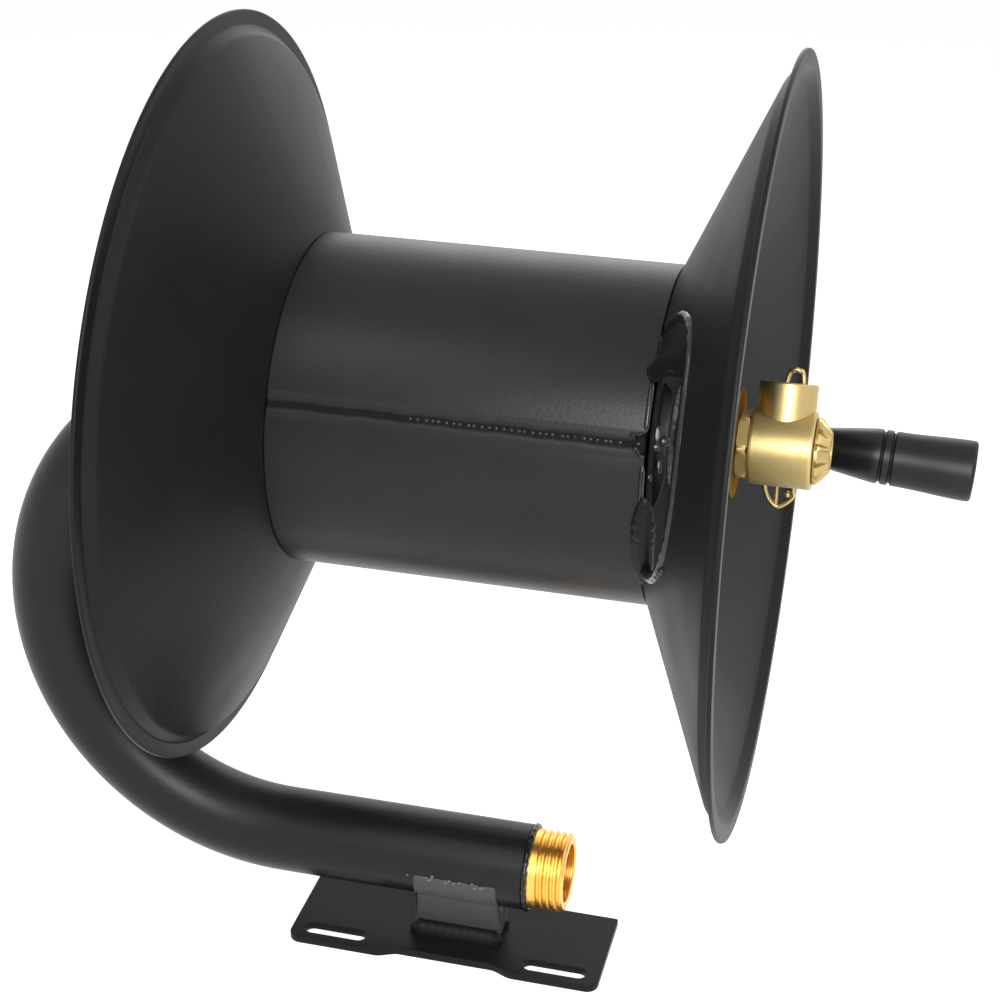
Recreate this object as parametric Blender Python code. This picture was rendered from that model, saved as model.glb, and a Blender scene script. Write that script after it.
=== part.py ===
"""Wall or bench mounted hose reel on a bent tube arm, in metres, +Z up.

The origin is the centre of the base plate's underside. The drum turns about a
line along X at AXIS_HEIGHT. The base plate, block, arm and axle stand still,
the drum carries both dished flanges and the crank, the brass swivel turns on
the drum's inlet stem, and the grip turns on its stud.
"""

import math

import bmesh
import bpy
from mathutils import Matrix, Vector

for old_object in list(bpy.data.objects):
    bpy.data.objects.remove(old_object, do_unlink=True)

# Clearances, metres
FIT_GAP = 0.0003
RUNNING_GAP = 0.0004
WELD_THROAT = 0.004

# Facets round a turned piece
FLANGE_STEPS = 48
MEDIUM_STEPS = 32
SMALL_STEPS = 24
TUBE_SIDES = 24
SEAL_STEPS = 16
BEND_STEPS = 8
PORT_EDGE_STEPS = 18

# Base plate and its block
PLATE_LENGTH = 0.160
PLATE_WIDTH = 0.058
PLATE_THICKNESS = 0.004
PLATE_CORNER = 0.006
PLATE_BACK_CORNER = 0.001
RECESS_LENGTH = 0.047
RECESS_RUN = 0.012
RECESS_DEPTH = 0.004
RECESS_X = 0.0015
SLOT_END_MARGIN = 0.007
SLOT_SIDE_MARGIN = 0.005
SLOT_LENGTH = 0.032
SLOT_WIDTH = 0.008
BLOCK_LENGTH = 0.044
BLOCK_WIDTH = 0.012
BLOCK_HEIGHT = 0.0222
BLOCK_X = 0.0035
FOOT_WELD_LEG = 0.006
PAD_THICKNESS = 0.0018
PAD_LOW_DEG = 62.0
PAD_HIGH_DEG = 2.0

# Tube arm
AXIS_HEIGHT = 0.289
TUBE_DIAMETER = 0.0424
TUBE_WALL = 0.0032
TUBE_END_X = 0.0385
BEND_X = -0.089

# Threaded brass stub in the arm's open end
STUB_DIAMETER = 0.0394
STUB_BORE = 0.029
STUB_LENGTH = 0.020
STUB_TAIL = 0.020
STUB_FLOOR = 0.003
STUB_COLLAR = 0.006
THREAD_COUNT = 4
THREAD_DEPTH = 0.0014
END_RING_LENGTH = 0.003
END_RING_LIP = 0.001

# Drum and flanges
DRUM_DIAMETER = 0.1536
DRUM_LENGTH = 0.1664
DRUM_CENTRE_X = 0.0149
DRUM_SHEET = 0.002
FLANGE_DIAMETER = 0.350
FLANGE_SHEET = 0.002
DISH_DEPTH = 0.0437
RIM_WIDTH = 0.011
RIM_STEP_RUN = 0.004
RIM_STEP = 0.003
RIM_LIP = 0.0012
SEAM_ANGLE_DEG = 19.0
SEAM_WIDTH = 0.004
SEAM_HEIGHT = 0.0012

# Axle and its bearings
AXLE_DIAMETER = 0.024
AXLE_COLLAR = 0.004
BUSH_WALL = 0.002
BUSH_LENGTH = 0.018
BUSH_FLANGE = 0.0015
BUSH_RIM = 0.004
SLEEVE_WALL = 0.003
THRUST_WASHER = 0.0018
BULKHEAD_X = 0.010
BULKHEAD_SHEET = 0.002
SNAP_RING_THICKNESS = 0.0015
SNAP_GROOVE_DEPTH = 0.0012
AXLE_TIP = 0.004

# Hose opening at the drum's right end, angles from -Y towards +Z
PORT_PEAK_DEG = 20.0
PORT_LOW_DEG = -24.0
PORT_HIGH_DEG = 57.0
PORT_LOW_POWER = 2.3
PORT_HIGH_POWER = 5.0
PORT_INNER_RADIUS = 0.064
PORT_OUTER_RADIUS = 0.119
PORT_WALL_LOW_DEG = -6.0
PORT_WALL_HIGH_DEG = 43.0
PORT_WALL_MARGIN_DEG = 3.0
PORT_WALL = 0.0015
PORT_WALL_HEIGHT = 0.005
PORT_ROD_DIAMETER = 0.005
PORT_BEAD_DIAMETER = 0.005
PORT_BEAD_START_DEG = -1.0
PORT_BEAD_SPAN_DEG = 35.0
LIP_SHEET = 0.0015
LIP_LOW_DEG = 41.0
LIP_HIGH_DEG = 55.0
LIP_PART_LOW = 0.70
LIP_PART_HIGH = 0.93

# Inlet boss, water way and hose socket inside the drum
BOSS_DIAMETER = 0.038
BOSS_BORE = 0.016
BOSS_INNER_LENGTH = 0.030
BOSS_OUTER_LENGTH = 0.0286
BOSS_FLOOR = 0.004
RISER_DIAMETER = 0.0213
RISER_BORE = 0.016
RISER_SETBACK = 0.015
RISER_REACH = 0.040
SOCKET_DIAMETER = 0.027
SOCKET_LENGTH = 0.016

# Brass swivel
WASHER_DIAMETER = 0.050
WASHER_THICKNESS = 0.0013
HEX_FLATS = 0.0286
HEX_LENGTH = 0.005
STEM_DIAMETER = 0.0192
STEM_BORE = 0.012
STEM_TAIL = 0.020
STEM_CROSS_BORE = 0.009
SWIVEL_DIAMETER = 0.035
SWIVEL_LENGTH = 0.0281
SWIVEL_CHAMFER = 0.001
OUTLET_DIAMETER = 0.026
OUTLET_BORE = 0.0172
OUTLET_REACH = 0.029
OUTLET_TILT_DEG = 21.0
SEAL_DIAMETER = 0.0017
SEAL_SPACING = 0.018
RING_DIAMETER = 0.030
RING_NOSE_DIAMETER = 0.018
RING_BORE = 0.011
RING_LENGTH = 0.007
RING_NOTCH_COUNT = 12
RING_NOTCH_WIDTH = 0.0022
RING_NOTCH_DEPTH = 0.0016
CLIP_WIRE = 0.0022
CLIP_HALF_WIDTH = 0.006
CLIP_TOP = 0.027
CLIP_TOP_HALF = 0.0034
CLIP_TOP_SHIFT = 0.0012
CLIP_BOTTOM = 0.0372
CLIP_LEFT_FOOT = 0.0089
CLIP_RIGHT_FOOT = 0.0044
CLIP_POINT_SHIFT = 0.0031

# Crank stud and grip
CRANK_INSET = 0.050
CRANK_ANGLE_DEG = -21.0
GRIP_DROOP_DEG = 3.3
CRANK_BOSS_DIAMETER = 0.022
CRANK_BOSS_LENGTH = 0.012
STUD_DIAMETER = 0.010
STUD_ENGAGEMENT = 0.008
NUT_FLATS = 0.016
NUT_THICKNESS = 0.006
CRANK_WASHER_DIAMETER = 0.018
CRANK_WASHER_THICKNESS = 0.0015
GRIP_LENGTH = 0.0905
GRIP_NECK_DIAMETER = 0.0165
GRIP_NECK_LENGTH = 0.003
GRIP_WAIST_DIAMETER = 0.0275
GRIP_END_DIAMETER = 0.0305
GRIP_TAPER_LENGTH = 0.039
GRIP_GROOVE_DEPTH = 0.0012
GRIP_GROOVE_PITCH = 0.005
GRIP_CAP_THICKNESS = 0.003
GRIP_CAP_DIAMETER = 0.022
GRIP_CHAMFER = 0.001

# Sizes that follow from the ones above
DRUM_RADIUS = DRUM_DIAMETER / 2
FLANGE_RADIUS = FLANGE_DIAMETER / 2
CRANK_RADIUS = FLANGE_RADIUS - CRANK_INSET
DRUM_LEFT = DRUM_CENTRE_X - DRUM_LENGTH / 2
DRUM_RIGHT = DRUM_CENTRE_X + DRUM_LENGTH / 2
CONE_SLOPE = DISH_DEPTH / (FLANGE_RADIUS - DRUM_RADIUS)
CONE_COSINE = 1 / math.hypot(1, CONE_SLOPE)
TUBE_LOW_Z = PLATE_THICKNESS + BLOCK_HEIGHT + TUBE_DIAMETER / 2
BEND_RADIUS = (AXIS_HEIGHT - TUBE_LOW_Z) / 2
TUBE_BORE = TUBE_DIAMETER - 2 * TUBE_WALL
AXLE_RADIUS = AXLE_DIAMETER / 2
BUSH_RADIUS = AXLE_RADIUS + RUNNING_GAP + BUSH_WALL
HUB_HOLE_RADIUS = BUSH_RADIUS + FIT_GAP


def material(name, colour, roughness, metallic):
    """Make a Principled material from a linear colour."""
    result = bpy.data.materials.new(name)
    result.use_nodes = True
    shader = result.node_tree.nodes["Principled BSDF"]
    shader.inputs["Base Color"].default_value = (*colour, 1)
    shader.inputs["Roughness"].default_value = roughness
    shader.inputs["Metallic"].default_value = metallic
    return result


def joint_empty(name, location, rotation=(0, 0, 0)):
    """Place an empty whose X axis is a joint's axis."""
    empty = bpy.data.objects.new(name, None)
    empty.location = location
    empty.rotation_euler = rotation
    bpy.context.scene.collection.objects.link(empty)
    return empty


def add_object(name, bm, look, parent=None):
    """Turn a bmesh into a named object, round faces smooth and corners sharp."""
    bmesh.ops.remove_doubles(bm, verts=bm.verts, dist=1e-6)
    bmesh.ops.recalc_face_normals(bm, faces=bm.faces)
    mesh = bpy.data.meshes.new(name)
    bm.to_mesh(mesh)
    bm.free()
    mesh.materials.append(look)
    mesh.shade_smooth()
    mesh.set_sharp_from_angle(angle=math.radians(35))
    result = bpy.data.objects.new(name, mesh)
    bpy.context.scene.collection.objects.link(result)
    result.parent = parent
    return result


def turned(profile, steps):
    """Revolve an (x, radius) outline about X; ends at radius 0 stay open there."""
    bm = bmesh.new()
    verts = [bm.verts.new((x, 0, radius)) for x, radius in profile]
    edges = [bm.edges.new(pair) for pair in zip(verts, verts[1:])]
    if profile[0][1] > 0:
        edges.append(bm.edges.new((verts[-1], verts[0])))
    bmesh.ops.spin(bm, geom=verts + edges, cent=(0, 0, 0), axis=(1, 0, 0),
                   angle=math.tau, steps=steps, use_merge=True)
    return bm


def ring(x_start, x_end, inner, outer, steps):
    """Revolve a plain rectangular section into a washer or sleeve."""
    return turned([(x_start, inner), (x_start, outer), (x_end, outer), (x_end, inner)], steps)


def rod(x_start, x_end, radius, steps):
    """Make a solid cylinder along X."""
    return turned([(x_start, 0), (x_start, radius), (x_end, radius), (x_end, 0)], steps)


def prism(outline, start, end):
    """Extrude an outline of 3-D points from start to end, two offset vectors."""
    bm = bmesh.new()
    face = bm.faces.new([bm.verts.new(Vector(point) + Vector(start)) for point in outline])
    grown = bmesh.ops.extrude_face_region(bm, geom=[face])
    moved = [item for item in grown["geom"] if isinstance(item, bmesh.types.BMVert)]
    bmesh.ops.translate(bm, verts=moved, vec=Vector(end) - Vector(start))
    return bm


def arc(centre, radius, start_deg, end_deg, steps):
    """List points on an arc in the XY plane."""
    angles = [math.radians(start_deg + (end_deg - start_deg) * i / steps) for i in range(steps + 1)]
    return [(centre[0] + radius * math.cos(a), centre[1] + radius * math.sin(a), 0) for a in angles]


def hexagon_prism(x_start, x_end, flats):
    """Make a hexagonal bar along X, a flat facing up."""
    corner = flats / 2 / math.cos(math.radians(30))
    angles = [math.radians(60 * i) for i in range(6)]
    outline = [(0, corner * math.cos(a), corner * math.sin(a)) for a in angles]
    return prism(outline, (x_start, 0, 0), (x_end, 0, 0))


def swept_pipe(stations, side, outer, inner, sides):
    """Skin a pipe along (point, direction) stations that lie in one plane across side."""
    bm = bmesh.new()
    side = Vector(side)

    def circle(point, direction, radius):
        across = Vector(direction).cross(side)
        turns = [math.tau * i / sides for i in range(sides)]
        return [bm.verts.new(Vector(point) + radius * (math.cos(a) * side + math.sin(a) * across))
                for a in turns]

    def bridge(first, second):
        for i in range(sides):
            j = (i + 1) % sides
            bm.faces.new((first[i], first[j], second[j], second[i]))

    skins = [[circle(point, way, radius) for point, way in stations] for radius in (outer, inner)]
    for skin in skins:
        for first, second in zip(skin, skin[1:]):
            bridge(first, second)
    for end in (0, -1):
        bridge(skins[0][end], skins[1][end])
    return bm


def wire(name, points, diameter, look, parent, closed=False):
    """Lay a round bar along a chain of points."""
    curve = bpy.data.curves.new(name, "CURVE")
    curve.dimensions = "3D"
    curve.bevel_depth = diameter / 2
    curve.bevel_resolution = 1
    curve.use_fill_caps = True
    spline = curve.splines.new("POLY")
    spline.points.add(len(points) - 1)
    for slot, point in zip(spline.points, points):
        slot.co = (*point, 1)
    spline.use_cyclic_u = closed
    curve.materials.append(look)
    result = bpy.data.objects.new(name, curve)
    bpy.context.scene.collection.objects.link(result)
    result.parent = parent
    return result


def combine(target, tool, operation):
    """Apply a Boolean of a hidden tool object to a target."""
    tool.hide_render = True
    tool.display_type = "WIRE"
    modifier = target.modifiers.new(tool.name, "BOOLEAN")
    modifier.operation = operation
    modifier.solver = "EXACT"
    modifier.object = tool


def on_drum(x, radius, angle_deg):
    """Give the point at an angle round the drum, measured from -Y towards +Z."""
    angle = math.radians(angle_deg)
    return (x, -radius * math.cos(angle), radius * math.sin(angle))


black_coat = material("black_powder_coat", (0.020, 0.021, 0.021), 0.42, 0.0)
gloss_coat = material("gloss_black_coat", (0.012, 0.012, 0.013), 0.18, 0.0)
raw_block = material("scuffed_grey_coat", (0.090, 0.092, 0.095), 0.60, 0.0)
golden_brass = material("golden_brass", (0.80, 0.42, 0.06), 0.25, 1.0)
pale_brass = material("satin_brass", (0.66, 0.45, 0.15), 0.32, 1.0)
zinc_steel = material("zinc_plated_steel", (0.55, 0.56, 0.58), 0.35, 1.0)
nylon = material("white_nylon", (0.72, 0.70, 0.64), 0.45, 0.0)
seal_rubber = material("black_rubber", (0.015, 0.015, 0.015), 0.70, 0.0)
grip_plastic = material("black_grip_plastic", (0.018, 0.018, 0.019), 0.25, 0.0)

drum_axis = joint_empty("drum_axis", (0, 0, AXIS_HEIGHT))
arm_axis = joint_empty("arm_axis", (0, 0, AXIS_HEIGHT))
low_axis = joint_empty("low_axis", (0, 0, TUBE_LOW_Z))

# Base plate with two slots along its front and a shallow front recess
half_length = PLATE_LENGTH / 2
half_width = PLATE_WIDTH / 2
corner_x = half_length - PLATE_CORNER
corner_y = half_width - PLATE_CORNER
recess_half = RECESS_LENGTH / 2
outline = arc((-corner_x, -corner_y), PLATE_CORNER, 180, 270, 4)
for way, start in ((1, RECESS_X - recess_half - RECESS_RUN), (-1, RECESS_X + recess_half)):
    for i in range(5):
        rise = 0.5 - 0.5 * way * math.cos(math.pi * i / 4)
        outline.append((start + RECESS_RUN * i / 4, RECESS_DEPTH * rise - half_width, 0))
outline += arc((corner_x, -corner_y), PLATE_CORNER, 270, 360, 4)
back_x = half_length - PLATE_BACK_CORNER
back_y = half_width - PLATE_BACK_CORNER
outline += arc((back_x, back_y), PLATE_BACK_CORNER, 0, 90, 2)
outline += arc((-back_x, back_y), PLATE_BACK_CORNER, 90, 180, 2)
base_plate = add_object("base_plate", prism(outline, (0, 0, 0), (0, 0, PLATE_THICKNESS)), black_coat)
slot_run = (SLOT_LENGTH - SLOT_WIDTH) / 2
slot_x = half_length - SLOT_END_MARGIN - SLOT_LENGTH / 2
slot_y = half_width - SLOT_SIDE_MARGIN - SLOT_WIDTH / 2
slot_shape = arc((slot_run, 0), SLOT_WIDTH / 2, -90, 90, 6)
slot_shape += arc((-slot_run, 0), SLOT_WIDTH / 2, 90, 270, 6)
for side_x in (-1, 1):
    slot_tool = add_object(f"slot_tool_{side_x}",
                           prism(slot_shape, (0, 0, -PLATE_THICKNESS), (0, 0, 2 * PLATE_THICKNESS)),
                           black_coat)
    slot_tool.location = (side_x * slot_x, -slot_y, 0)
    combine(base_plate, slot_tool, "DIFFERENCE")

# Block under the tube, with a cradle cut for the tube
block_left = BLOCK_X - BLOCK_LENGTH / 2
block_right = BLOCK_X + BLOCK_LENGTH / 2
block_face = [(0, -BLOCK_WIDTH / 2, PLATE_THICKNESS + FIT_GAP),
              (0, BLOCK_WIDTH / 2, PLATE_THICKNESS + FIT_GAP),
              (0, BLOCK_WIDTH / 2, TUBE_LOW_Z), (0, -BLOCK_WIDTH / 2, TUBE_LOW_Z)]
stand_off_block = add_object("stand_off_block", prism(block_face, (block_left, 0, 0), (block_right, 0, 0)),
                             raw_block)
cradle_tool = add_object("cradle_tool",
                         rod(-PLATE_LENGTH, PLATE_LENGTH, TUBE_DIAMETER / 2 + FIT_GAP, TUBE_SIDES),
                         raw_block, low_axis)
combine(stand_off_block, cradle_tool, "DIFFERENCE")

# Fillet welds at the block's foot, front and back
for side, name in ((-1, "block_weld_front"), (1, "block_weld_back")):
    foot_y = side * (BLOCK_WIDTH / 2 + FIT_GAP)
    foot_z = PLATE_THICKNESS + FIT_GAP
    fillet = [(0, foot_y, foot_z), (0, foot_y + side * FOOT_WELD_LEG, foot_z),
              (0, foot_y, foot_z + FOOT_WELD_LEG)]
    add_object(name, prism(fillet, (block_left, 0, 0), (block_right, 0, 0)), gloss_coat)

# Flat weld runs from the block's top up the tube's flanks, angles down from the horizontal
for side, name in ((-1, "block_weld_top_front"), (1, "block_weld_top_back")):
    pad_outline = []
    for radius, angles in ((TUBE_DIAMETER / 2 + FIT_GAP, (PAD_LOW_DEG, PAD_HIGH_DEG)),
                           (TUBE_DIAMETER / 2 + FIT_GAP + PAD_THICKNESS, (PAD_HIGH_DEG, PAD_LOW_DEG))):
        for i in range(5):
            angle = math.radians(angles[0] + (angles[1] - angles[0]) * i / 4)
            pad_outline.append((0, side * radius * math.cos(angle), TUBE_LOW_Z - radius * math.sin(angle)))
    add_object(name, prism(pad_outline, (block_left, 0, 0), (block_right, 0, 0)), raw_block)

# Bent tube arm: low straight run, half turn, short run into the left dish
disc_outside = DRUM_LEFT - FLANGE_SHEET
bush_face = disc_outside - FIT_GAP - BUSH_FLANGE
thrust_face = bush_face - FIT_GAP - THRUST_WASHER
collar_face = thrust_face - FIT_GAP - AXLE_COLLAR
tube_top_x = collar_face - FIT_GAP


def bend_station(part):
    """Give the (point, direction) station at a share of the half turn, 0 low and 1 high."""
    turn = math.pi * part
    return ((BEND_X - BEND_RADIUS * math.sin(turn), 0, TUBE_LOW_Z + BEND_RADIUS * (1 - math.cos(turn))),
            (-math.cos(turn), 0, math.sin(turn)))


low_run = [((TUBE_END_X, 0, TUBE_LOW_Z), (-1, 0, 0)), ((BEND_X + FIT_GAP, 0, TUBE_LOW_Z), (-1, 0, 0))]
joint_part = FIT_GAP / (math.pi * BEND_RADIUS)
low_bend = [bend_station((0.5 - joint_part) * i / BEND_STEPS) for i in range(BEND_STEPS + 1)]
high_bend = [bend_station(0.5 + 0.5 * i / BEND_STEPS) for i in range(BEND_STEPS + 1)]
high_bend.append(((tube_top_x, 0, AXIS_HEIGHT), (1, 0, 0)))
for name, stations in (("frame_tube", low_run), ("frame_bend_low", low_bend), ("frame_bend_high", high_bend)):
    add_object(name, swept_pipe(stations, (0, 1, 0), TUBE_DIAMETER / 2, TUBE_BORE / 2, TUBE_SIDES), black_coat)

# Threaded brass stub, its closed tail inside the tube and ridges outside
stub_radius = STUB_DIAMETER / 2
tail_radius = TUBE_BORE / 2 - 2 * FIT_GAP
stub_start = TUBE_END_X + FIT_GAP
thread_start = stub_start + STUB_COLLAR
thread_pitch = (STUB_LENGTH - STUB_COLLAR) / THREAD_COUNT
stub = [(stub_start - STUB_TAIL, 0), (stub_start - STUB_TAIL, tail_radius),
        (stub_start, tail_radius), (stub_start, stub_radius), (thread_start, stub_radius)]
for i in range(THREAD_COUNT):
    root_x = thread_start + (i + 0.2) * thread_pitch
    stub.append((root_x, stub_radius - THREAD_DEPTH))
    stub.append((root_x + 0.35 * thread_pitch, stub_radius))
    stub.append((root_x + 0.60 * thread_pitch, stub_radius))
stub.append((stub_start + STUB_LENGTH, stub_radius - THREAD_DEPTH))
stub += [(stub_start + STUB_LENGTH, STUB_BORE / 2), (stub_start - STUB_TAIL + STUB_FLOOR, STUB_BORE / 2),
         (stub_start - STUB_TAIL + STUB_FLOOR, 0)]
add_object("threaded_stub", turned(stub, SMALL_STEPS), golden_brass, low_axis)

# Weld ring round the stub at the tube's end
add_object("tube_end_ring",
           ring(stub_start, stub_start + END_RING_LENGTH, stub_radius + FIT_GAP,
                TUBE_DIAMETER / 2 + END_RING_LIP, SMALL_STEPS),
           gloss_coat, low_axis)

# Axle: a collared plug welded in the tube and a fixed shaft through the drum
sleeve_end = BULKHEAD_X - FIT_GAP
bulkhead_right = BULKHEAD_X + BULKHEAD_SHEET
right_bush_face = bulkhead_right + FIT_GAP + BUSH_FLANGE
end_washer_start = right_bush_face + FIT_GAP
snap_start = end_washer_start + THRUST_WASHER + FIT_GAP
snap_end = snap_start + SNAP_RING_THICKNESS
axle_end = snap_end + AXLE_TIP
plug_start = BEND_X
plug_radius = TUBE_BORE / 2 - 2 * FIT_GAP
plug_bore = AXLE_RADIUS + FIT_GAP
add_object("axle_plug",
           turned([(plug_start, plug_bore), (plug_start, plug_radius), (collar_face, plug_radius),
                   (collar_face, TUBE_DIAMETER / 2), (collar_face + AXLE_COLLAR, TUBE_DIAMETER / 2),
                   (collar_face + AXLE_COLLAR, plug_bore)], SMALL_STEPS),
           zinc_steel, arm_axis)
groove_radius = AXLE_RADIUS - SNAP_GROOVE_DEPTH
add_object("axle_shaft",
           turned([(plug_start, 0), (plug_start, AXLE_RADIUS), (snap_start - FIT_GAP, AXLE_RADIUS),
                   (snap_start - FIT_GAP, groove_radius), (snap_end + FIT_GAP, groove_radius),
                   (snap_end + FIT_GAP, AXLE_RADIUS), (axle_end, AXLE_RADIUS), (axle_end, 0)], SMALL_STEPS),
           zinc_steel, arm_axis)
add_object("thrust_washer",
           ring(thrust_face, thrust_face + THRUST_WASHER, plug_bore, BUSH_RADIUS + BUSH_RIM, SMALL_STEPS),
           nylon, arm_axis)
add_object("axle_end_washer",
           ring(end_washer_start, end_washer_start + THRUST_WASHER, plug_bore, BUSH_RADIUS + BUSH_RIM, SMALL_STEPS),
           zinc_steel, arm_axis)
add_object("axle_snap_ring",
           ring(snap_start, snap_end, groove_radius + FIT_GAP, AXLE_RADIUS + BUSH_WALL, SMALL_STEPS),
           zinc_steel, arm_axis)

# Drum shell, one rolled sheet
drum_shell = add_object("drum_shell",
                        ring(DRUM_LEFT + FIT_GAP, DRUM_RIGHT - FIT_GAP, DRUM_RADIUS - DRUM_SHEET, DRUM_RADIUS,
                             FLANGE_STEPS),
                        black_coat, drum_axis)


def cone_face(radius):
    """Give how far the cone's drum side stands out from the drum's end at a radius."""
    return (radius - DRUM_RADIUS) * CONE_SLOPE


def flange_profile(base, way):
    """Outline a dished flange with a stepped flat rim; way is +1 for right, -1 for left."""
    step_radius = FLANGE_RADIUS - RIM_WIDTH
    flat_radius = step_radius + RIM_STEP_RUN
    flat_out = cone_face(flat_radius) + RIM_STEP
    sheet_out = FLANGE_SHEET / CONE_COSINE
    corner = DRUM_RADIUS - (sheet_out - FLANGE_SHEET) / CONE_SLOPE
    lip_radius = FLANGE_RADIUS - RIM_LIP
    inner = DRUM_RADIUS - DRUM_SHEET
    points = [(0, inner), (0, DRUM_RADIUS), (cone_face(step_radius), step_radius)]
    points += [(flat_out - RIM_STEP / 3, flat_radius - RIM_STEP_RUN / 4), (flat_out, flat_radius)]
    points += [(flat_out, lip_radius), (flat_out + RIM_LIP / 2, FLANGE_RADIUS)]
    points += [(flat_out + FLANGE_SHEET, FLANGE_RADIUS - RIM_LIP / 2), (flat_out + FLANGE_SHEET, flat_radius)]
    back_radius = step_radius - RIM_STEP_RUN / 4
    points.append((cone_face(back_radius) + sheet_out, back_radius))
    points += [(FLANGE_SHEET, corner), (FLANGE_SHEET, inner)]
    return [(base + way * out, radius) for out, radius in points]


# Dished flanges with a stepped rim, and the flat discs that close the drum's ends
left_flange = add_object("left_flange", turned(flange_profile(DRUM_LEFT, -1), FLANGE_STEPS),
                         black_coat, drum_axis)
right_flange = add_object("right_flange", turned(flange_profile(DRUM_RIGHT, 1), FLANGE_STEPS),
                          black_coat, drum_axis)
disc_radius = DRUM_RADIUS - DRUM_SHEET - FIT_GAP
add_object("left_end_disc",
           ring(DRUM_LEFT - FLANGE_SHEET, DRUM_LEFT, HUB_HOLE_RADIUS, disc_radius, FLANGE_STEPS),
           black_coat, drum_axis)
right_end_disc = add_object("right_end_disc",
                            ring(DRUM_RIGHT, DRUM_RIGHT + FLANGE_SHEET, BOSS_DIAMETER / 2 + FIT_GAP, disc_radius,
                                 FLANGE_STEPS),
                            black_coat, drum_axis)


def port_line(part):
    """Give (radius, angle) on the rod's line round the opening, part from 0 below to 1 above."""
    share = 0.5 - 0.5 * math.cos(math.pi * part)
    angle = PORT_LOW_DEG + (PORT_HIGH_DEG - PORT_LOW_DEG) * share
    if angle < PORT_PEAK_DEG:
        drop = ((PORT_PEAK_DEG - angle) / (PORT_PEAK_DEG - PORT_LOW_DEG)) ** PORT_LOW_POWER
    else:
        drop = ((angle - PORT_PEAK_DEG) / (PORT_HIGH_DEG - PORT_PEAK_DEG)) ** PORT_HIGH_POWER
    base_radius = DRUM_RADIUS + PORT_ROD_DIAMETER / 2 + 2 * FIT_GAP
    return base_radius + (PORT_OUTER_RADIUS - base_radius) * (1 - drop), angle


def port_edge(part, outwards):
    """Give the point beside the rod's line, seen along X, moved outwards from the opening's middle."""
    before, here, after = [Vector(on_drum(0, *port_line(min(max(part + step, 0), 1))))
                           for step in (-0.01, 0, 0.01)]
    return here + outwards * Vector((1, 0, 0)).cross((after - before).normalized())


# Hose opening: one cut through the right dish and the right end disc
rod_room = PORT_ROD_DIAMETER / 2 + FIT_GAP
tool_outline = [port_edge(i / PORT_EDGE_STEPS, rod_room) for i in range(PORT_EDGE_STEPS + 1)]
inner_steps = PORT_EDGE_STEPS // 2
wall_middle_deg = (PORT_WALL_HIGH_DEG + PORT_WALL_LOW_DEG) / 2
wall_half_deg = (PORT_WALL_HIGH_DEG - PORT_WALL_LOW_DEG) / 2
for i in range(inner_steps + 1):
    edge_deg = wall_middle_deg + (wall_half_deg + PORT_WALL_MARGIN_DEG) * (1 - 2 * i / inner_steps)
    tool_outline.append(Vector(on_drum(0, PORT_INNER_RADIUS, edge_deg)))
port_tool = add_object("port_tool",
                       prism(tool_outline, (DRUM_RIGHT - FIT_GAP / 2, 0, 0), (DRUM_RIGHT + DISH_DEPTH, 0, 0)),
                       black_coat, drum_axis)
combine(right_flange, port_tool, "DIFFERENCE")
combine(right_end_disc, port_tool, "DIFFERENCE")

# Rod bent to the opening's outline and welded in the dish's cut edge
rod_path = []
for i in range(2, PORT_EDGE_STEPS - 1):
    edge_radius, edge_deg = port_line(i / PORT_EDGE_STEPS)
    rod_path.append(on_drum(DRUM_RIGHT + cone_face(edge_radius) + FLANGE_SHEET / CONE_COSINE / 2,
                            edge_radius, edge_deg))
wire("port_rim_rod", rod_path, PORT_ROD_DIAMETER, gloss_coat, drum_axis)

# Turned-out wall along the opening's inner edge, standing on the disc's outer face
wall_outline = []
wall_outer = PORT_INNER_RADIUS - FIT_GAP
for radius, way in ((wall_outer, 1), (wall_outer - PORT_WALL, -1)):
    for i in range(inner_steps + 1):
        edge_deg = wall_middle_deg + way * wall_half_deg * (1 - 2 * i / inner_steps)
        wall_outline.append(on_drum(0, radius, edge_deg))
wall_start = DRUM_RIGHT + FLANGE_SHEET + FIT_GAP
add_object("port_inner_wall",
           prism(wall_outline, (wall_start, 0, 0), (wall_start + PORT_WALL_HEIGHT, 0, 0)),
           gloss_coat, drum_axis)

# Weld bead in the corner along and below the opening's lower half
bead_radius = DRUM_RADIUS + PORT_BEAD_DIAMETER / 2 + FIT_GAP
bead_x = DRUM_RIGHT + cone_face(bead_radius) - (PORT_BEAD_DIAMETER / 2 + FIT_GAP) / CONE_COSINE
bead_path = [on_drum(bead_x, bead_radius, PORT_BEAD_START_DEG - PORT_BEAD_SPAN_DEG * i / 8) for i in range(9)]
wire("port_weld_bead", bead_path, PORT_BEAD_DIAMETER, gloss_coat, drum_axis)

# Web of sheet that closes the opening's upper corner, between the rod and the drum
lip_outline = []
for i in range(6):
    part = LIP_PART_LOW + (LIP_PART_HIGH - LIP_PART_LOW) * i / 5
    beside_rod = port_edge(part, -rod_room)
    lip_outline.append((DRUM_RIGHT + cone_face(beside_rod.length), beside_rod.y, beside_rod.z))
lip_base = DRUM_RADIUS + 2 * FIT_GAP
for i in range(4):
    edge_deg = LIP_HIGH_DEG + (LIP_LOW_DEG - LIP_HIGH_DEG) * i / 3
    lip_outline.append(on_drum(DRUM_RIGHT + cone_face(lip_base), lip_base, edge_deg))
add_object("port_lip", prism(lip_outline, (0, 0, 0), (LIP_SHEET, 0, 0)), gloss_coat, drum_axis)

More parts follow.
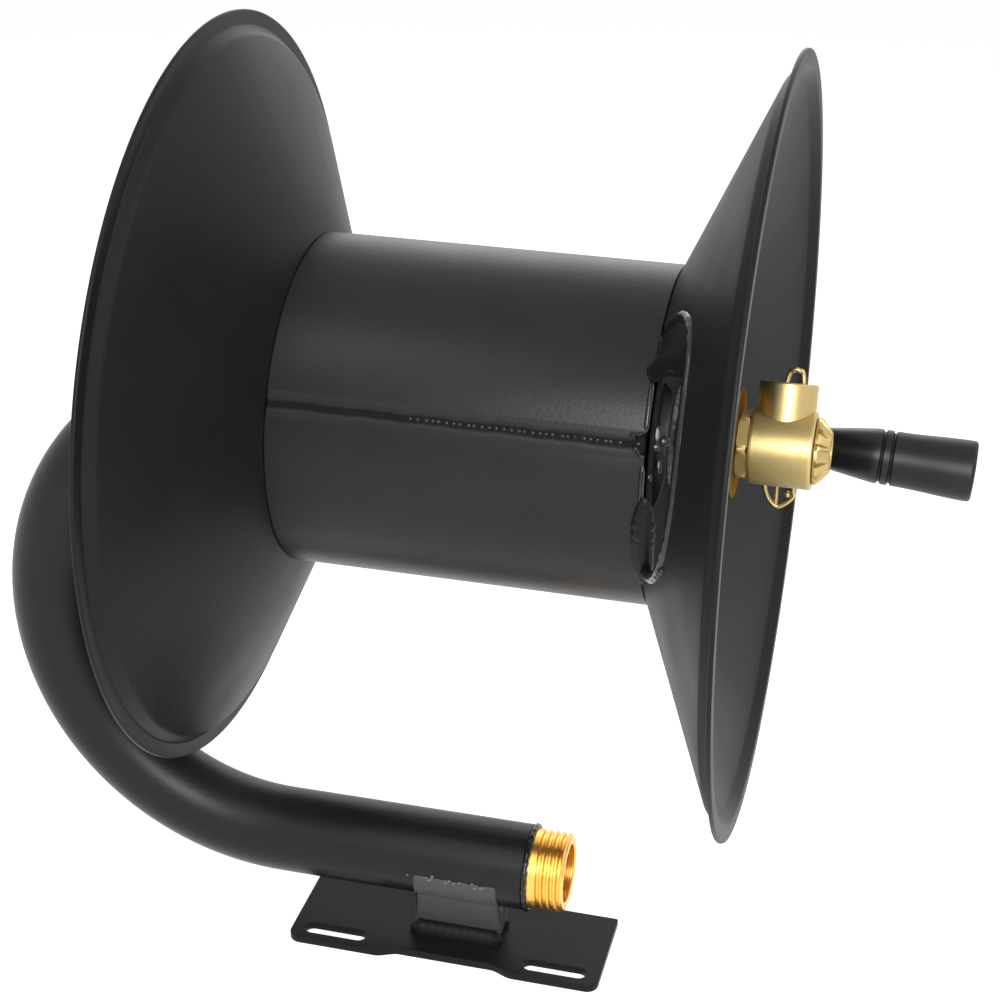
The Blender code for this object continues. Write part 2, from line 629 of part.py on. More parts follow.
# Seam weld along the drum
seam_half = SEAM_WIDTH / 2
seam_face = [(0, -seam_half, 0), (0, seam_half, 0), (0, seam_half * 0.6, SEAM_HEIGHT * 0.7),
             (0, 0, SEAM_HEIGHT), (0, -seam_half * 0.6, SEAM_HEIGHT * 0.7)]
seam_base = DRUM_RADIUS + FIT_GAP
drum_seam_weld = add_object("drum_seam_weld",
                            prism(seam_face, (DRUM_LEFT + 2 * FIT_GAP, 0, seam_base),
                                  (DRUM_RIGHT - FIT_GAP, 0, seam_base)),
                            gloss_coat, drum_axis)
drum_seam_weld.rotation_euler = (math.radians(90 - SEAM_ANGLE_DEG), 0, 0)

# Hub sleeve, bulkhead and the two nylon bushes
sleeve_start = DRUM_LEFT + FIT_GAP
add_object("hub_sleeve",
           ring(sleeve_start, sleeve_end, HUB_HOLE_RADIUS, HUB_HOLE_RADIUS + SLEEVE_WALL, SMALL_STEPS),
           black_coat, drum_axis)
add_object("inner_bulkhead",
           ring(BULKHEAD_X, bulkhead_right, HUB_HOLE_RADIUS, DRUM_RADIUS - DRUM_SHEET - 2 * FIT_GAP, SMALL_STEPS),
           black_coat, drum_axis)
bush_bore = AXLE_RADIUS + RUNNING_GAP
add_object("left_bush",
           turned([(bush_face, bush_bore), (bush_face, BUSH_RADIUS + BUSH_RIM),
                   (bush_face + BUSH_FLANGE, BUSH_RADIUS + BUSH_RIM), (bush_face + BUSH_FLANGE, BUSH_RADIUS),
                   (bush_face + BUSH_LENGTH, BUSH_RADIUS), (bush_face + BUSH_LENGTH, bush_bore)], SMALL_STEPS),
           nylon, drum_axis)
add_object("right_bush",
           turned([(right_bush_face, bush_bore), (right_bush_face, BUSH_RADIUS + BUSH_RIM),
                   (right_bush_face - BUSH_FLANGE, BUSH_RADIUS + BUSH_RIM),
                   (right_bush_face - BUSH_FLANGE, BUSH_RADIUS), (right_bush_face - BUSH_LENGTH, BUSH_RADIUS),
                   (right_bush_face - BUSH_LENGTH, bush_bore)], SMALL_STEPS),
           nylon, drum_axis)

# Steel inlet boss through the right disc, blind at its inner end
boss_radius = BOSS_DIAMETER / 2
boss_start = DRUM_RIGHT - BOSS_INNER_LENGTH
boss_end = DRUM_RIGHT + BOSS_OUTER_LENGTH
inlet_boss = add_object("inlet_boss",
                        turned([(boss_start, 0), (boss_start, boss_radius), (boss_end, boss_radius),
                                (boss_end, BOSS_BORE / 2), (boss_start + BOSS_FLOOR, BOSS_BORE / 2),
                                (boss_start + BOSS_FLOOR, 0)], SMALL_STEPS),
                        black_coat, drum_axis)
weld_start = DRUM_RIGHT + FLANGE_SHEET + FIT_GAP
weld_inner = boss_radius + FIT_GAP
add_object("boss_weld",
           turned([(weld_start, weld_inner), (weld_start, weld_inner + WELD_THROAT),
                   (weld_start + WELD_THROAT, weld_inner)], SMALL_STEPS),
           gloss_coat, drum_axis)

# Riser pipe from the boss straight to the front, with the hose socket on its end
riser_turn = Matrix.Rotation(math.radians(-90), 4, "Z")
riser_place = Matrix.Translation((DRUM_RIGHT - RISER_SETBACK, 0, 0)) @ riser_turn
riser_pipe = add_object("riser_pipe",
                        ring(boss_radius / 2, RISER_REACH, RISER_BORE / 2, RISER_DIAMETER / 2, SMALL_STEPS),
                        black_coat, drum_axis)
riser_pipe.matrix_local = riser_place
boss_tool = add_object("boss_tool", rod(boss_start - BOSS_FLOOR, boss_end, boss_radius + FIT_GAP, SMALL_STEPS),
                       black_coat, drum_axis)
combine(riser_pipe, boss_tool, "DIFFERENCE")
waterway_tool = add_object("waterway_tool", rod(0, RISER_REACH, RISER_BORE / 2, SMALL_STEPS),
                           black_coat, drum_axis)
waterway_tool.matrix_local = riser_place
combine(inlet_boss, waterway_tool, "DIFFERENCE")
hose_socket = add_object("hose_socket",
                         ring(RISER_REACH + FIT_GAP, RISER_REACH + SOCKET_LENGTH, RISER_BORE / 2,
                              SOCKET_DIAMETER / 2, SMALL_STEPS),
                         black_coat, drum_axis)
hose_socket.matrix_local = riser_place

# Large thin brass washer and the inlet stem with its hexagon
washer_start = boss_end + FIT_GAP
hex_start = washer_start + WASHER_THICKNESS + FIT_GAP
hex_end = hex_start + HEX_LENGTH
body_start = hex_end + FIT_GAP
body_end = body_start + SWIVEL_LENGTH
ring_start = body_end + FIT_GAP
ring_end = ring_start + RING_LENGTH
stem_radius = STEM_DIAMETER / 2
tail_end_radius = BOSS_BORE / 2 - FIT_GAP
add_object("brass_washer",
           ring(washer_start, washer_start + WASHER_THICKNESS, tail_end_radius + FIT_GAP, WASHER_DIAMETER / 2,
                MEDIUM_STEPS),
           pale_brass, drum_axis)
body_middle = (body_start + body_end) / 2
stem_end = ring_start + RING_LENGTH / 2
stem = [(boss_end - STEM_TAIL, 0), (boss_end - STEM_TAIL, tail_end_radius),
        (hex_start, tail_end_radius), (hex_start, stem_radius)]
groove_half = SEAL_DIAMETER / 2 + FIT_GAP
groove_floor = stem_radius + RUNNING_GAP - SEAL_DIAMETER - 2 * FIT_GAP
for seal_x in (body_middle - SEAL_SPACING / 2, body_middle + SEAL_SPACING / 2):
    stem += [(seal_x - groove_half, stem_radius), (seal_x - groove_half, groove_floor),
             (seal_x + groove_half, groove_floor), (seal_x + groove_half, stem_radius)]
stem += [(stem_end, stem_radius), (stem_end, 0)]
inlet_stem = add_object("inlet_stem", turned(stem, SMALL_STEPS), pale_brass, drum_axis)
hex_tool = add_object("hex_tool", hexagon_prism(hex_start, hex_end, HEX_FLATS), pale_brass, drum_axis)
combine(inlet_stem, hex_tool, "UNION")
stem_bore_tool = add_object("stem_bore_tool",
                            rod(boss_end - 2 * STEM_TAIL, body_middle + STEM_BORE / 2, STEM_BORE / 2, SMALL_STEPS),
                            pale_brass, drum_axis)
combine(inlet_stem, stem_bore_tool, "DIFFERENCE")
cross_tool = add_object("cross_tool", rod(0, STEM_DIAMETER, STEM_CROSS_BORE / 2, SMALL_STEPS),
                        pale_brass, drum_axis)
cross_tool.matrix_local = Matrix.Translation((body_middle, 0, 0)) @ Matrix.Rotation(math.radians(-90), 4, "Y")
combine(inlet_stem, cross_tool, "DIFFERENCE")

# Two rubber rings that seal the stem in the swivel body
seal_radius = SEAL_DIAMETER / 2
seal_centre = groove_floor + FIT_GAP + seal_radius
for number, seal_x in enumerate((body_middle - SEAL_SPACING / 2, body_middle + SEAL_SPACING / 2), 1):
    corners = [math.radians(60 * i) for i in range(6)]
    section = [(seal_x + seal_radius * math.cos(a), seal_centre + seal_radius * math.sin(a)) for a in corners]
    add_object(f"swivel_seal_{number}", turned(section, SEAL_STEPS), seal_rubber, drum_axis)

# Notched retaining ring on the stem's end
ring_radius = RING_DIAMETER / 2
bevel_start = ring_start + RING_LENGTH * 0.25
stem_pocket = stem_radius + FIT_GAP
swivel_ring = add_object("swivel_ring",
                         turned([(ring_start, stem_pocket), (ring_start, ring_radius), (bevel_start, ring_radius),
                                 (ring_end, RING_NOSE_DIAMETER / 2), (ring_end, RING_BORE / 2),
                                 (stem_end + FIT_GAP, RING_BORE / 2), (stem_end + FIT_GAP, stem_pocket)],
                                MEDIUM_STEPS),
                         pale_brass, drum_axis)
notches = bmesh.new()
bevel_run = ring_end - bevel_start
bevel_drop = ring_radius - RING_NOSE_DIAMETER / 2
for i in range(RING_NOTCH_COUNT):
    turn = Matrix.Rotation(math.tau * i / RING_NOTCH_COUNT, 4, "X")
    notch_face = [(bevel_start, 0, ring_radius - RING_NOTCH_DEPTH),
                  (bevel_start, 0, ring_radius + RING_NOTCH_DEPTH),
                  (bevel_start + bevel_run * 0.8, 0, ring_radius + RING_NOTCH_DEPTH),
                  (bevel_start + bevel_run * 0.8, 0, ring_radius - bevel_drop * 0.8 - RING_NOTCH_DEPTH)]
    half_notch = RING_NOTCH_WIDTH / 2
    left = [notches.verts.new(turn @ Vector((x, -half_notch, z))) for x, _, z in notch_face]
    right = [notches.verts.new(turn @ Vector((x, half_notch, z))) for x, _, z in notch_face]
    notches.faces.new(left)
    notches.faces.new(right)
    for a in range(4):
        b = (a + 1) % 4
        notches.faces.new((left[a], left[b], right[b], right[a]))
notch_tool = add_object("notch_tool", notches, pale_brass, drum_axis)
combine(swivel_ring, notch_tool, "DIFFERENCE")

# Swivel body: a cross bored barrel with a tilted inlet
swivel_axis = joint_empty("swivel_axis", (body_middle, 0, AXIS_HEIGHT))
half_body = SWIVEL_LENGTH / 2
barrel_radius = SWIVEL_DIAMETER / 2
swivel_body = add_object("swivel_body",
                         turned([(-half_body, 0), (-half_body, barrel_radius - SWIVEL_CHAMFER),
                                 (SWIVEL_CHAMFER - half_body, barrel_radius),
                                 (half_body - SWIVEL_CHAMFER, barrel_radius),
                                 (half_body, barrel_radius - SWIVEL_CHAMFER), (half_body, 0)], MEDIUM_STEPS),
                         pale_brass, swivel_axis)
outlet_turn = (Matrix.Rotation(math.radians(-OUTLET_TILT_DEG), 4, "X")
               @ Matrix.Rotation(math.radians(-90), 4, "Y"))
outlet_radius = OUTLET_DIAMETER / 2
outlet_tool = add_object("outlet_tool",
                         turned([(0, 0), (0, outlet_radius), (OUTLET_REACH - SWIVEL_CHAMFER, outlet_radius),
                                 (OUTLET_REACH, outlet_radius - SWIVEL_CHAMFER), (OUTLET_REACH, 0)], MEDIUM_STEPS),
                         pale_brass, swivel_axis)
outlet_tool.matrix_local = outlet_turn
combine(swivel_body, outlet_tool, "UNION")
barrel_bore_tool = add_object("barrel_bore_tool",
                              rod(-SWIVEL_LENGTH, SWIVEL_LENGTH, stem_radius + RUNNING_GAP, SMALL_STEPS),
                              pale_brass, swivel_axis)
combine(swivel_body, barrel_bore_tool, "DIFFERENCE")
outlet_bore_tool = add_object("outlet_bore_tool",
                              rod(0, OUTLET_REACH + SWIVEL_CHAMFER, OUTLET_BORE / 2, MEDIUM_STEPS),
                              pale_brass, swivel_axis)
outlet_bore_tool.matrix_local = outlet_turn
combine(swivel_body, outlet_bore_tool, "DIFFERENCE")

# Bent brass wire clip behind the swivel body
clip_y = barrel_radius + CLIP_WIRE / 2 + FIT_GAP
lean = math.tan(math.radians(OUTLET_TILT_DEG))
clip_top_y = CLIP_TOP * lean + outlet_radius / math.cos(math.radians(OUTLET_TILT_DEG)) + CLIP_WIRE
clip_points = [(-CLIP_HALF_WIDTH, clip_y, 0),
               (CLIP_TOP_SHIFT - CLIP_TOP_HALF, clip_top_y, CLIP_TOP * 0.87),
               (CLIP_TOP_SHIFT - CLIP_TOP_HALF * 0.35, clip_top_y, CLIP_TOP),
               (CLIP_TOP_SHIFT + CLIP_TOP_HALF * 0.35, clip_top_y, CLIP_TOP),
               (CLIP_TOP_SHIFT + CLIP_TOP_HALF, clip_top_y, CLIP_TOP * 0.87),
               (CLIP_HALF_WIDTH, clip_y, 0), (CLIP_RIGHT_FOOT, clip_y, -CLIP_BOTTOM * 0.7),
               (CLIP_RIGHT_FOOT, clip_y, -CLIP_BOTTOM * 0.86), (-CLIP_POINT_SHIFT, clip_y, -CLIP_BOTTOM),
               (-CLIP_LEFT_FOOT, clip_y, -CLIP_BOTTOM * 0.7)]
wire("swivel_clip", clip_points, CLIP_WIRE, pale_brass, swivel_axis, closed=True)

# Crank: a boss welded on the right dish, a stud, a nut, a washer and the grip
crank_angle = math.radians(CRANK_ANGLE_DEG)
crank_x = DRUM_RIGHT + cone_face(CRANK_RADIUS) + FLANGE_SHEET / CONE_COSINE
grip_axis = joint_empty("grip_axis",
                        (crank_x, CRANK_RADIUS * math.cos(crank_angle),
                         AXIS_HEIGHT + CRANK_RADIUS * math.sin(crank_angle)),
                        (0, math.radians(GRIP_DROOP_DEG), 0))
nut_start = CRANK_BOSS_LENGTH + FIT_GAP
washer_seat = nut_start + NUT_THICKNESS + FIT_GAP
grip_start = washer_seat + CRANK_WASHER_THICKNESS + FIT_GAP
grip_end = grip_start + GRIP_LENGTH
stud_radius = STUD_DIAMETER / 2
crank_boss = add_object("crank_boss",
                        turned([(-CRANK_BOSS_LENGTH, stud_radius + FIT_GAP),
                                (-CRANK_BOSS_LENGTH, CRANK_BOSS_DIAMETER / 2),
                                (CRANK_BOSS_LENGTH, CRANK_BOSS_DIAMETER / 2),
                                (CRANK_BOSS_LENGTH, stud_radius + FIT_GAP)], SMALL_STEPS),
                        black_coat, grip_axis)
dish_back = FLANGE_SHEET / CONE_COSINE + FIT_GAP
dish_tool = add_object("dish_tool",
                       turned([(0, DRUM_RADIUS), (DRUM_RIGHT + dish_back, DRUM_RADIUS),
                               (DRUM_RIGHT + dish_back + cone_face(FLANGE_RADIUS), FLANGE_RADIUS),
                               (0, FLANGE_RADIUS)], FLANGE_STEPS),
                       black_coat, drum_axis)
combine(crank_boss, dish_tool, "DIFFERENCE")
nut_room = stud_radius + FIT_GAP
cap_start = grip_end - GRIP_CAP_THICKNESS
end_nut_start = cap_start - NUT_THICKNESS - 2 * FIT_GAP
pocket_start = end_nut_start - FIT_GAP
pocket_radius = GRIP_CAP_DIAMETER / 2 + FIT_GAP
add_object("crank_stud",
           rod(CRANK_BOSS_LENGTH - STUD_ENGAGEMENT, cap_start - FIT_GAP, stud_radius, SMALL_STEPS),
           zinc_steel, grip_axis)
for name, start in (("crank_lock_nut", nut_start), ("grip_end_nut", end_nut_start)):
    nut = add_object(name, hexagon_prism(start, start + NUT_THICKNESS, NUT_FLATS), zinc_steel, grip_axis)
    nut_tool = add_object(f"{name}_tool", rod(0, grip_end, nut_room, SMALL_STEPS), zinc_steel, grip_axis)
    combine(nut, nut_tool, "DIFFERENCE")
add_object("crank_washer",
           ring(washer_seat, washer_seat + CRANK_WASHER_THICKNESS, nut_room, CRANK_WASHER_DIAMETER / 2, SMALL_STEPS),
           zinc_steel, grip_axis)

# Tapered grip with two grooves, and its end cap
neck_end = grip_start + GRIP_NECK_LENGTH
taper_end = neck_end + GRIP_TAPER_LENGTH
grip = [(grip_start, stud_radius + RUNNING_GAP), (grip_start, GRIP_NECK_DIAMETER / 2),
        (neck_end, GRIP_NECK_DIAMETER / 2), (taper_end, GRIP_WAIST_DIAMETER / 2)]
for i in range(2):
    groove_x = taper_end + (i + 0.4) * GRIP_GROOVE_PITCH
    grip += [(groove_x, GRIP_WAIST_DIAMETER / 2), (groove_x + 0.2 * GRIP_GROOVE_PITCH,
                                                   GRIP_WAIST_DIAMETER / 2 - GRIP_GROOVE_DEPTH),
             (groove_x + 0.4 * GRIP_GROOVE_PITCH, GRIP_WAIST_DIAMETER / 2)]
grip += [(taper_end + 3 * GRIP_GROOVE_PITCH, GRIP_END_DIAMETER / 2 - GRIP_GROOVE_DEPTH / 2),
         (grip_end - GRIP_CHAMFER, GRIP_END_DIAMETER / 2), (grip_end, GRIP_END_DIAMETER / 2 - GRIP_CHAMFER),
         (grip_end, pocket_radius), (pocket_start, pocket_radius), (pocket_start, stud_radius + RUNNING_GAP)]
add_object("crank_grip", turned(grip, SMALL_STEPS), grip_plastic, grip_axis)
add_object("grip_end_cap",
           rod(cap_start, grip_end + FIT_GAP, GRIP_CAP_DIAMETER / 2, SMALL_STEPS), grip_plastic, grip_axis)
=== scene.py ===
"""Looks of a steel hose reel: a dished drum on a bent tube arm, with brass fittings and a crank grip."""
import math

import bpy
import numpy as np
from mathutils import Matrix, Vector


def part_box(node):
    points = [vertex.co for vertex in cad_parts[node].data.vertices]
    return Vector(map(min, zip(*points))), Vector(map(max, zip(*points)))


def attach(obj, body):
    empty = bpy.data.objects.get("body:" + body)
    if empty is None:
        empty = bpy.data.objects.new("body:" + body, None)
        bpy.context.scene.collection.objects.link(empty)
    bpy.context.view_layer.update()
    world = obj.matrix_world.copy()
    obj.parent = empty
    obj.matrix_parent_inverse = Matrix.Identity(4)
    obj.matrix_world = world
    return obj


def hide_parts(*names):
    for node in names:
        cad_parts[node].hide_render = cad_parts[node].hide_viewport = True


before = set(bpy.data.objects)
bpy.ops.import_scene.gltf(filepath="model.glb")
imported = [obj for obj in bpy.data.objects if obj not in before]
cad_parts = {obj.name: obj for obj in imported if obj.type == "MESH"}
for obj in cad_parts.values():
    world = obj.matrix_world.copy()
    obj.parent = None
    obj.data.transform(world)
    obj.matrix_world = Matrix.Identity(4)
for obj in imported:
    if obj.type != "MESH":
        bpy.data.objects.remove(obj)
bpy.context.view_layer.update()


# Camera
# The photographer stood in front of the reel and a little to its right, looked down on it, and held
# the camera slightly turned. Its place comes from the camera that was fitted to the photograph.
def show(name, data):
    """Put an object that holds this data in the scene."""
    shown = bpy.data.objects.new(name, data)
    bpy.context.scene.collection.objects.link(shown)
    return shown


AXIS_Z = 0.289
ROUND_Z, ABOVE, ROLL, DISTANCE = 0.2453, 0.3919, 0.0160, 0.95737
camera_data = bpy.data.cameras.new("camera")
camera_data.lens = 75.11
camera_data.sensor_width = 36.0
camera_data.shift_x = 0.02257
camera_data.shift_y = -0.0864
camera = show("camera", camera_data)
back = Vector((math.sin(ROUND_Z) * math.cos(ABOVE), -math.cos(ROUND_Z) * math.cos(ABOVE), math.sin(ABOVE)))
right = Vector((math.cos(ROUND_Z), math.sin(ROUND_Z), 0))
up = back.cross(right)
turned_right = right * math.cos(ROLL) + up * math.sin(ROLL)
turned_up = up * math.cos(ROLL) - right * math.sin(ROLL)
stand = Matrix.Translation(Vector((0.008, 0, AXIS_Z)) + back * DISTANCE)
camera.matrix_world = stand @ Matrix((turned_right, turned_up, back)).transposed().to_4x4()
bpy.context.scene.camera = camera


# Room
# A plain white studio: a pale floor that takes a soft shadow, an even white surround, one soft lamp
# beside the camera, as in the photograph, and weaker ones above to the left, on the right and behind.
def linear(code):
    """Turn an sRGB hex code to linear colour: x / 12.92 below 0.04, else ((x + 0.055) / 1.055) ^ 2.4."""
    part = np.array([int(code[i:i + 2], 16) / 255 for i in (1, 3, 5)])
    return tuple(np.where(part <= 0.04045, part / 12.92, ((part + 0.055) / 1.055) ** 2.4))


def add_node(tree, kind, sockets=None, **settings):
    """Add a node with its settings; sockets gives each input a number, a colour or a node's output."""
    node = tree.nodes.new(kind)
    for key, value in settings.items():
        setattr(node, key, value)
    for key, value in (sockets or {}).items():
        if isinstance(value, bpy.types.NodeSocket):
            tree.links.new(value, node.inputs[key])
        else:
            node.inputs[key].default_value = value
    return node


def seen_rays(tree):
    """Give 1 for rays by which the room is seen, straight, mirrored or through glass, and 0 for light."""
    rays = add_node(tree, "ShaderNodeLightPath").outputs
    seen = rays["Is Camera Ray"]
    for kind in ("Is Glossy Ray", "Is Transmission Ray"):
        seen = add_node(tree, "ShaderNodeMath", {0: seen, 1: rays[kind]}, operation="MAXIMUM").outputs[0]
    return seen


world = bpy.data.worlds.new("white_studio")
bpy.context.scene.world = world
world.use_nodes = True
tree = world.node_tree
tree.nodes.clear()
ambient = add_node(tree, "ShaderNodeBackground", {"Color": (1, 1, 1, 1), "Strength": 0.28})
backdrop = add_node(tree, "ShaderNodeBackground", {"Color": (1, 1, 1, 1), "Strength": 1.0})
surround = add_node(tree, "ShaderNodeMixShader", {0: seen_rays(tree), 1: ambient.outputs[0],
                                                  2: backdrop.outputs[0]})
add_node(tree, "ShaderNodeOutputWorld", {"Surface": surround.outputs[0]})

LAMPS_AIM = Vector((0.02, 0, 0.28))
for name, place, width, power in (("key_lamp", (0.368, -1.395, 0.981), 0.7, 25.0),
                                  ("upper_lamp", (-0.641, -0.788, 1.506), 0.7, 4.0),
                                  ("right_lamp", (1.45, 0.20, 1.10), 0.9, 5.0),
                                  ("back_lamp", (-0.10, 1.45, 0.80), 0.9, 3.0)):
    lamp_data = bpy.data.lights.new(name, "AREA")
    lamp_data.size = width
    lamp_data.energy = power
    way = LAMPS_AIM - Vector(place)
    lamp = show(name, lamp_data)
    lamp.matrix_world = Matrix.Translation(place) @ way.to_track_quat("-Z", "Y").to_matrix().to_4x4()

# Matt white floor paint: plain white where it is seen, and it still takes the reel's shadow
floor_paint = bpy.data.materials.new("matt_white_floor_paint")
floor_paint.use_nodes = True
tree = floor_paint.node_tree
tree.nodes.clear()
paint = add_node(tree, "ShaderNodeBsdfDiffuse", {"Color": (*linear("#e6e6e6"), 1)})
glow = add_node(tree, "ShaderNodeEmission", {"Color": (1, 1, 1, 1), "Strength": 0.72})
lit = add_node(tree, "ShaderNodeAddShader", {0: paint.outputs[0], 1: glow.outputs[0]})
mixed = add_node(tree, "ShaderNodeMixShader", {0: seen_rays(tree), 1: paint.outputs[0], 2: lit.outputs[0]})
add_node(tree, "ShaderNodeOutputMaterial", {"Surface": mixed.outputs[0]})
FLOOR_HALF, FLOOR_Z = 6, -0.0005
floor_mesh = bpy.data.meshes.new("studio_floor")
floor_mesh.from_pydata([(x * FLOOR_HALF, y * FLOOR_HALF, FLOOR_Z)
                        for x, y in ((-1, -1), (1, -1), (1, 1), (-1, 1))], [], [(0, 1, 2, 3)])
floor_mesh.materials.append(floor_paint)
studio_floor = show("studio_floor", floor_mesh)
bpy.context.scene.view_settings.view_transform = "Standard"


# Tube arm
# One length of 42 mm steel pipe, cut square, bent cold through half a turn round a former, and
# sprayed with black powder that melts in the oven to a satin skin with a faint orange peel.
def new_look(name, scale, detail, dark, light, even):
    """Start a material: noise of a scale per metre from dark to light, and sockets set evenly all over."""
    look = bpy.data.materials.new(name)
    look.use_nodes = True
    tree = look.node_tree
    tree.nodes.clear()
    shader = add_node(tree, "ShaderNodeBsdfPrincipled", even)
    add_node(tree, "ShaderNodeOutputMaterial", {"Surface": shader.outputs["BSDF"]})
    where = add_node(tree, "ShaderNodeTexCoord").outputs["Object"]
    noise = add_node(tree, "ShaderNodeTexNoise", {"Vector": where, "Scale": scale, "Detail": detail})
    clouds = noise.outputs["Fac"]
    tint = add_node(tree, "ShaderNodeMix", {"Factor": clouds, 6: (*linear(dark), 1), 7: (*linear(light), 1)},
                    data_type="RGBA")
    tree.links.new(tint.outputs[2], shader.inputs["Base Color"])
    return look, tree, shader, where, clouds


def copy_look(look, name):
    """Copy a material under a new name, and give the copy, its tree and its shader."""
    copy = look.copy()
    copy.name = name
    tree = copy.node_tree
    return copy, tree, next(node for node in tree.nodes if node.type == "BSDF_PRINCIPLED")


def lattice(points, loop_rows):
    """Join a grid of points, rows by columns, into quads; rows that don't loop end in fans to their mean."""
    rows, columns = points.shape[:2]
    index = np.arange(rows * columns).reshape(rows, columns)
    below = np.roll(index, -1, 0) if loop_rows else index[1:]
    here = index if loop_rows else index[:-1]
    faces = np.stack([here, np.roll(here, -1, 1), np.roll(below, -1, 1), below], -1).reshape(-1, 4)
    corners = points.reshape(-1, 3)
    fans = np.zeros((0, 3), int)
    if not loop_rows:
        corners = np.vstack([corners, points[0].mean(0), points[-1].mean(0)])
        first = np.full(columns, rows * columns)
        fans = np.vstack([np.stack([first, np.roll(index[0], -1), index[0]], -1),
                          np.stack([first + 1, index[-1], np.roll(index[-1], -1)], -1)])
    a, b, c, d = (corners[faces[:, i]] for i in range(4))
    volume = (np.einsum("ij,ij->", a, np.cross(b, c)) + np.einsum("ij,ij->", a, np.cross(c, d)))
    a, b, c = (corners[fans[:, i]] for i in range(3))
    volume += np.einsum("ij,ij->", a, np.cross(b, c))
    if volume < 0:
        faces, fans = faces[:, ::-1], fans[:, ::-1]
    return corners, faces.tolist() + fans.tolist()


def show_mesh(name, mesh, look, body, nodes, crease=32):
    """Show a mesh as one smooth piece in the given look, riding on a body, and hide the nodes it stands for.
    """
    mesh.materials.clear()
    mesh.materials.append(look)
    mesh.shade_smooth()
    mesh.set_sharp_from_angle(angle=math.radians(crease))
    piece = show(name, mesh)
    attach(piece, body)
    if nodes:
        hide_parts(*nodes)
    return piece


def add_piece(name, parts, look, body, nodes, crease=32):
    """Put one or more (corners, faces) parts into one mesh and show it as a piece."""
    corners = np.vstack([part[0] for part in parts])
    starts = np.cumsum([0] + [len(part[0]) for part in parts])
    faces = [[corner + start for corner in face] for part, start in zip(parts, starts) for face in part[1]]
    mesh = bpy.data.meshes.new(name)
    mesh.from_pydata(corners.tolist(), [], faces)
    return show_mesh(name, mesh, look, body, nodes, crease)


# An eased corner is a curve of five points
CORNER_POINTS = 5


def eased(outline, radius):
    """Round a closed outline's corners, from radius before P to after it: (1-t)^2 A + 2t(1-t) P + t^2 C."""
    outline = np.asarray(outline, float)
    before, after = np.roll(outline, 1, 0) - outline, np.roll(outline, -1, 0) - outline
    before_run, after_run = np.linalg.norm(before, axis=1)[:, None], np.linalg.norm(after, axis=1)[:, None]
    reach = np.minimum(np.minimum(before_run, after_run) * 0.45, np.reshape(radius, (-1, 1)))
    start = outline + before / before_run * reach
    end = outline + after / after_run * reach
    t = np.linspace(0, 1, CORNER_POINTS)[None, :, None]
    curve = (1 - t) ** 2 * start[:, None] + 2 * t * (1 - t) * outline[:, None] + t ** 2 * end[:, None]
    return curve.reshape(-1, outline.shape[1])


def smoothstep(t):
    """Rise from 0 to 1 as 3t^2 - 2t^3."""
    t = np.clip(t, 0, 1)
    return t * t * (3 - 2 * t)


def swept(path, side, section):
    """Carry a section, or one for each path point, along a path: P + u side + v (tangent x side)."""
    path, side = np.asarray(path, float), np.broadcast_to(np.asarray(side, float), np.shape(path))
    tangent = np.gradient(path, axis=0)
    tangent /= np.linalg.norm(tangent, axis=1)[:, None]
    side = side - tangent * np.einsum("ij,ij->i", side, tangent)[:, None]
    side = side / np.linalg.norm(side, axis=1)[:, None]
    across = np.cross(tangent, side)
    section = np.broadcast_to(section, (len(path), *np.shape(section)[-2:]))
    return path[:, None] + section[..., :1] * side[:, None] + section[..., 1:] * across[:, None]


def circle(radius, sides):
    """Give points of a circle, (radius cos a, radius sin a)."""
    turn = np.linspace(0, math.tau, sides, endpoint=False)
    return np.stack([radius * np.cos(turn), radius * np.sin(turn)], -1)


# Baked powder: nearly black, cloudy over a few centimetres, with a dull wide sheen
satin_coat, tree, shader, where, clouds = new_look(
    "satin_black_powder_coat", 28.0, 3.0, "#161717", "#1d1e1e", {"Specular IOR Level": 0.11})
peel = add_node(tree, "ShaderNodeTexNoise", {"Vector": where, "Scale": 520.0, "Detail": 2.0})
relief = add_node(tree, "ShaderNodeBump", {"Height": peel.outputs["Fac"], "Strength": 0.22,
                                           "Distance": 0.0003})
dull = add_node(tree, "ShaderNodeMapRange", {"Value": clouds, "From Min": 0.3, "From Max": 0.7,
                                             "To Min": 0.39, "To Max": 0.45})
tree.links.new(relief.outputs[0], shader.inputs["Normal"])
tree.links.new(dull.outputs[0], shader.inputs["Roughness"])

# The same powder flows out smoother on drawn pipe and rolled sheet than on the spun dishes
smooth_coat, tree, shader = copy_look(satin_coat, "smooth_black_powder_coat")
dull = next(node for node in tree.nodes if node.type == "MAP_RANGE")
dull.inputs["To Min"].default_value, dull.inputs["To Max"].default_value = 0.33, 0.38
shader.inputs["Specular IOR Level"].default_value = 0.21

PIPE_RADIUS, PIPE_BORE = 0.0212, 0.018
LOW_Z, BEND_X, BEND_RADIUS = 0.0474, -0.089, 0.1208
run_in = np.linspace(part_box("frame_tube")[1][0], BEND_X, 24, endpoint=False)
turn = np.linspace(0, math.pi, 91)
run_out = np.linspace(BEND_X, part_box("frame_bend_high")[1][0], 5)[1:]
pipe_x = np.concatenate([run_in, BEND_X - BEND_RADIUS * np.sin(turn), run_out])
pipe_z = np.concatenate([np.full_like(run_in, LOW_Z), LOW_Z + BEND_RADIUS * (1 - np.cos(turn)),
                         np.full_like(run_out, AXIS_Z)])
pipe_line = np.stack([pipe_x, 0 * pipe_x, pipe_z], -1)
outside, inside = (swept(pipe_line, (0, 1, 0), circle(radius, 72)) for radius in (PIPE_RADIUS, PIPE_BORE))
add_piece("arm_pipe", [lattice(np.concatenate([outside, inside[::-1]]), True)], smooth_coat, "frame",
          ("frame_tube", "frame_bend_low", "frame_bend_high"))


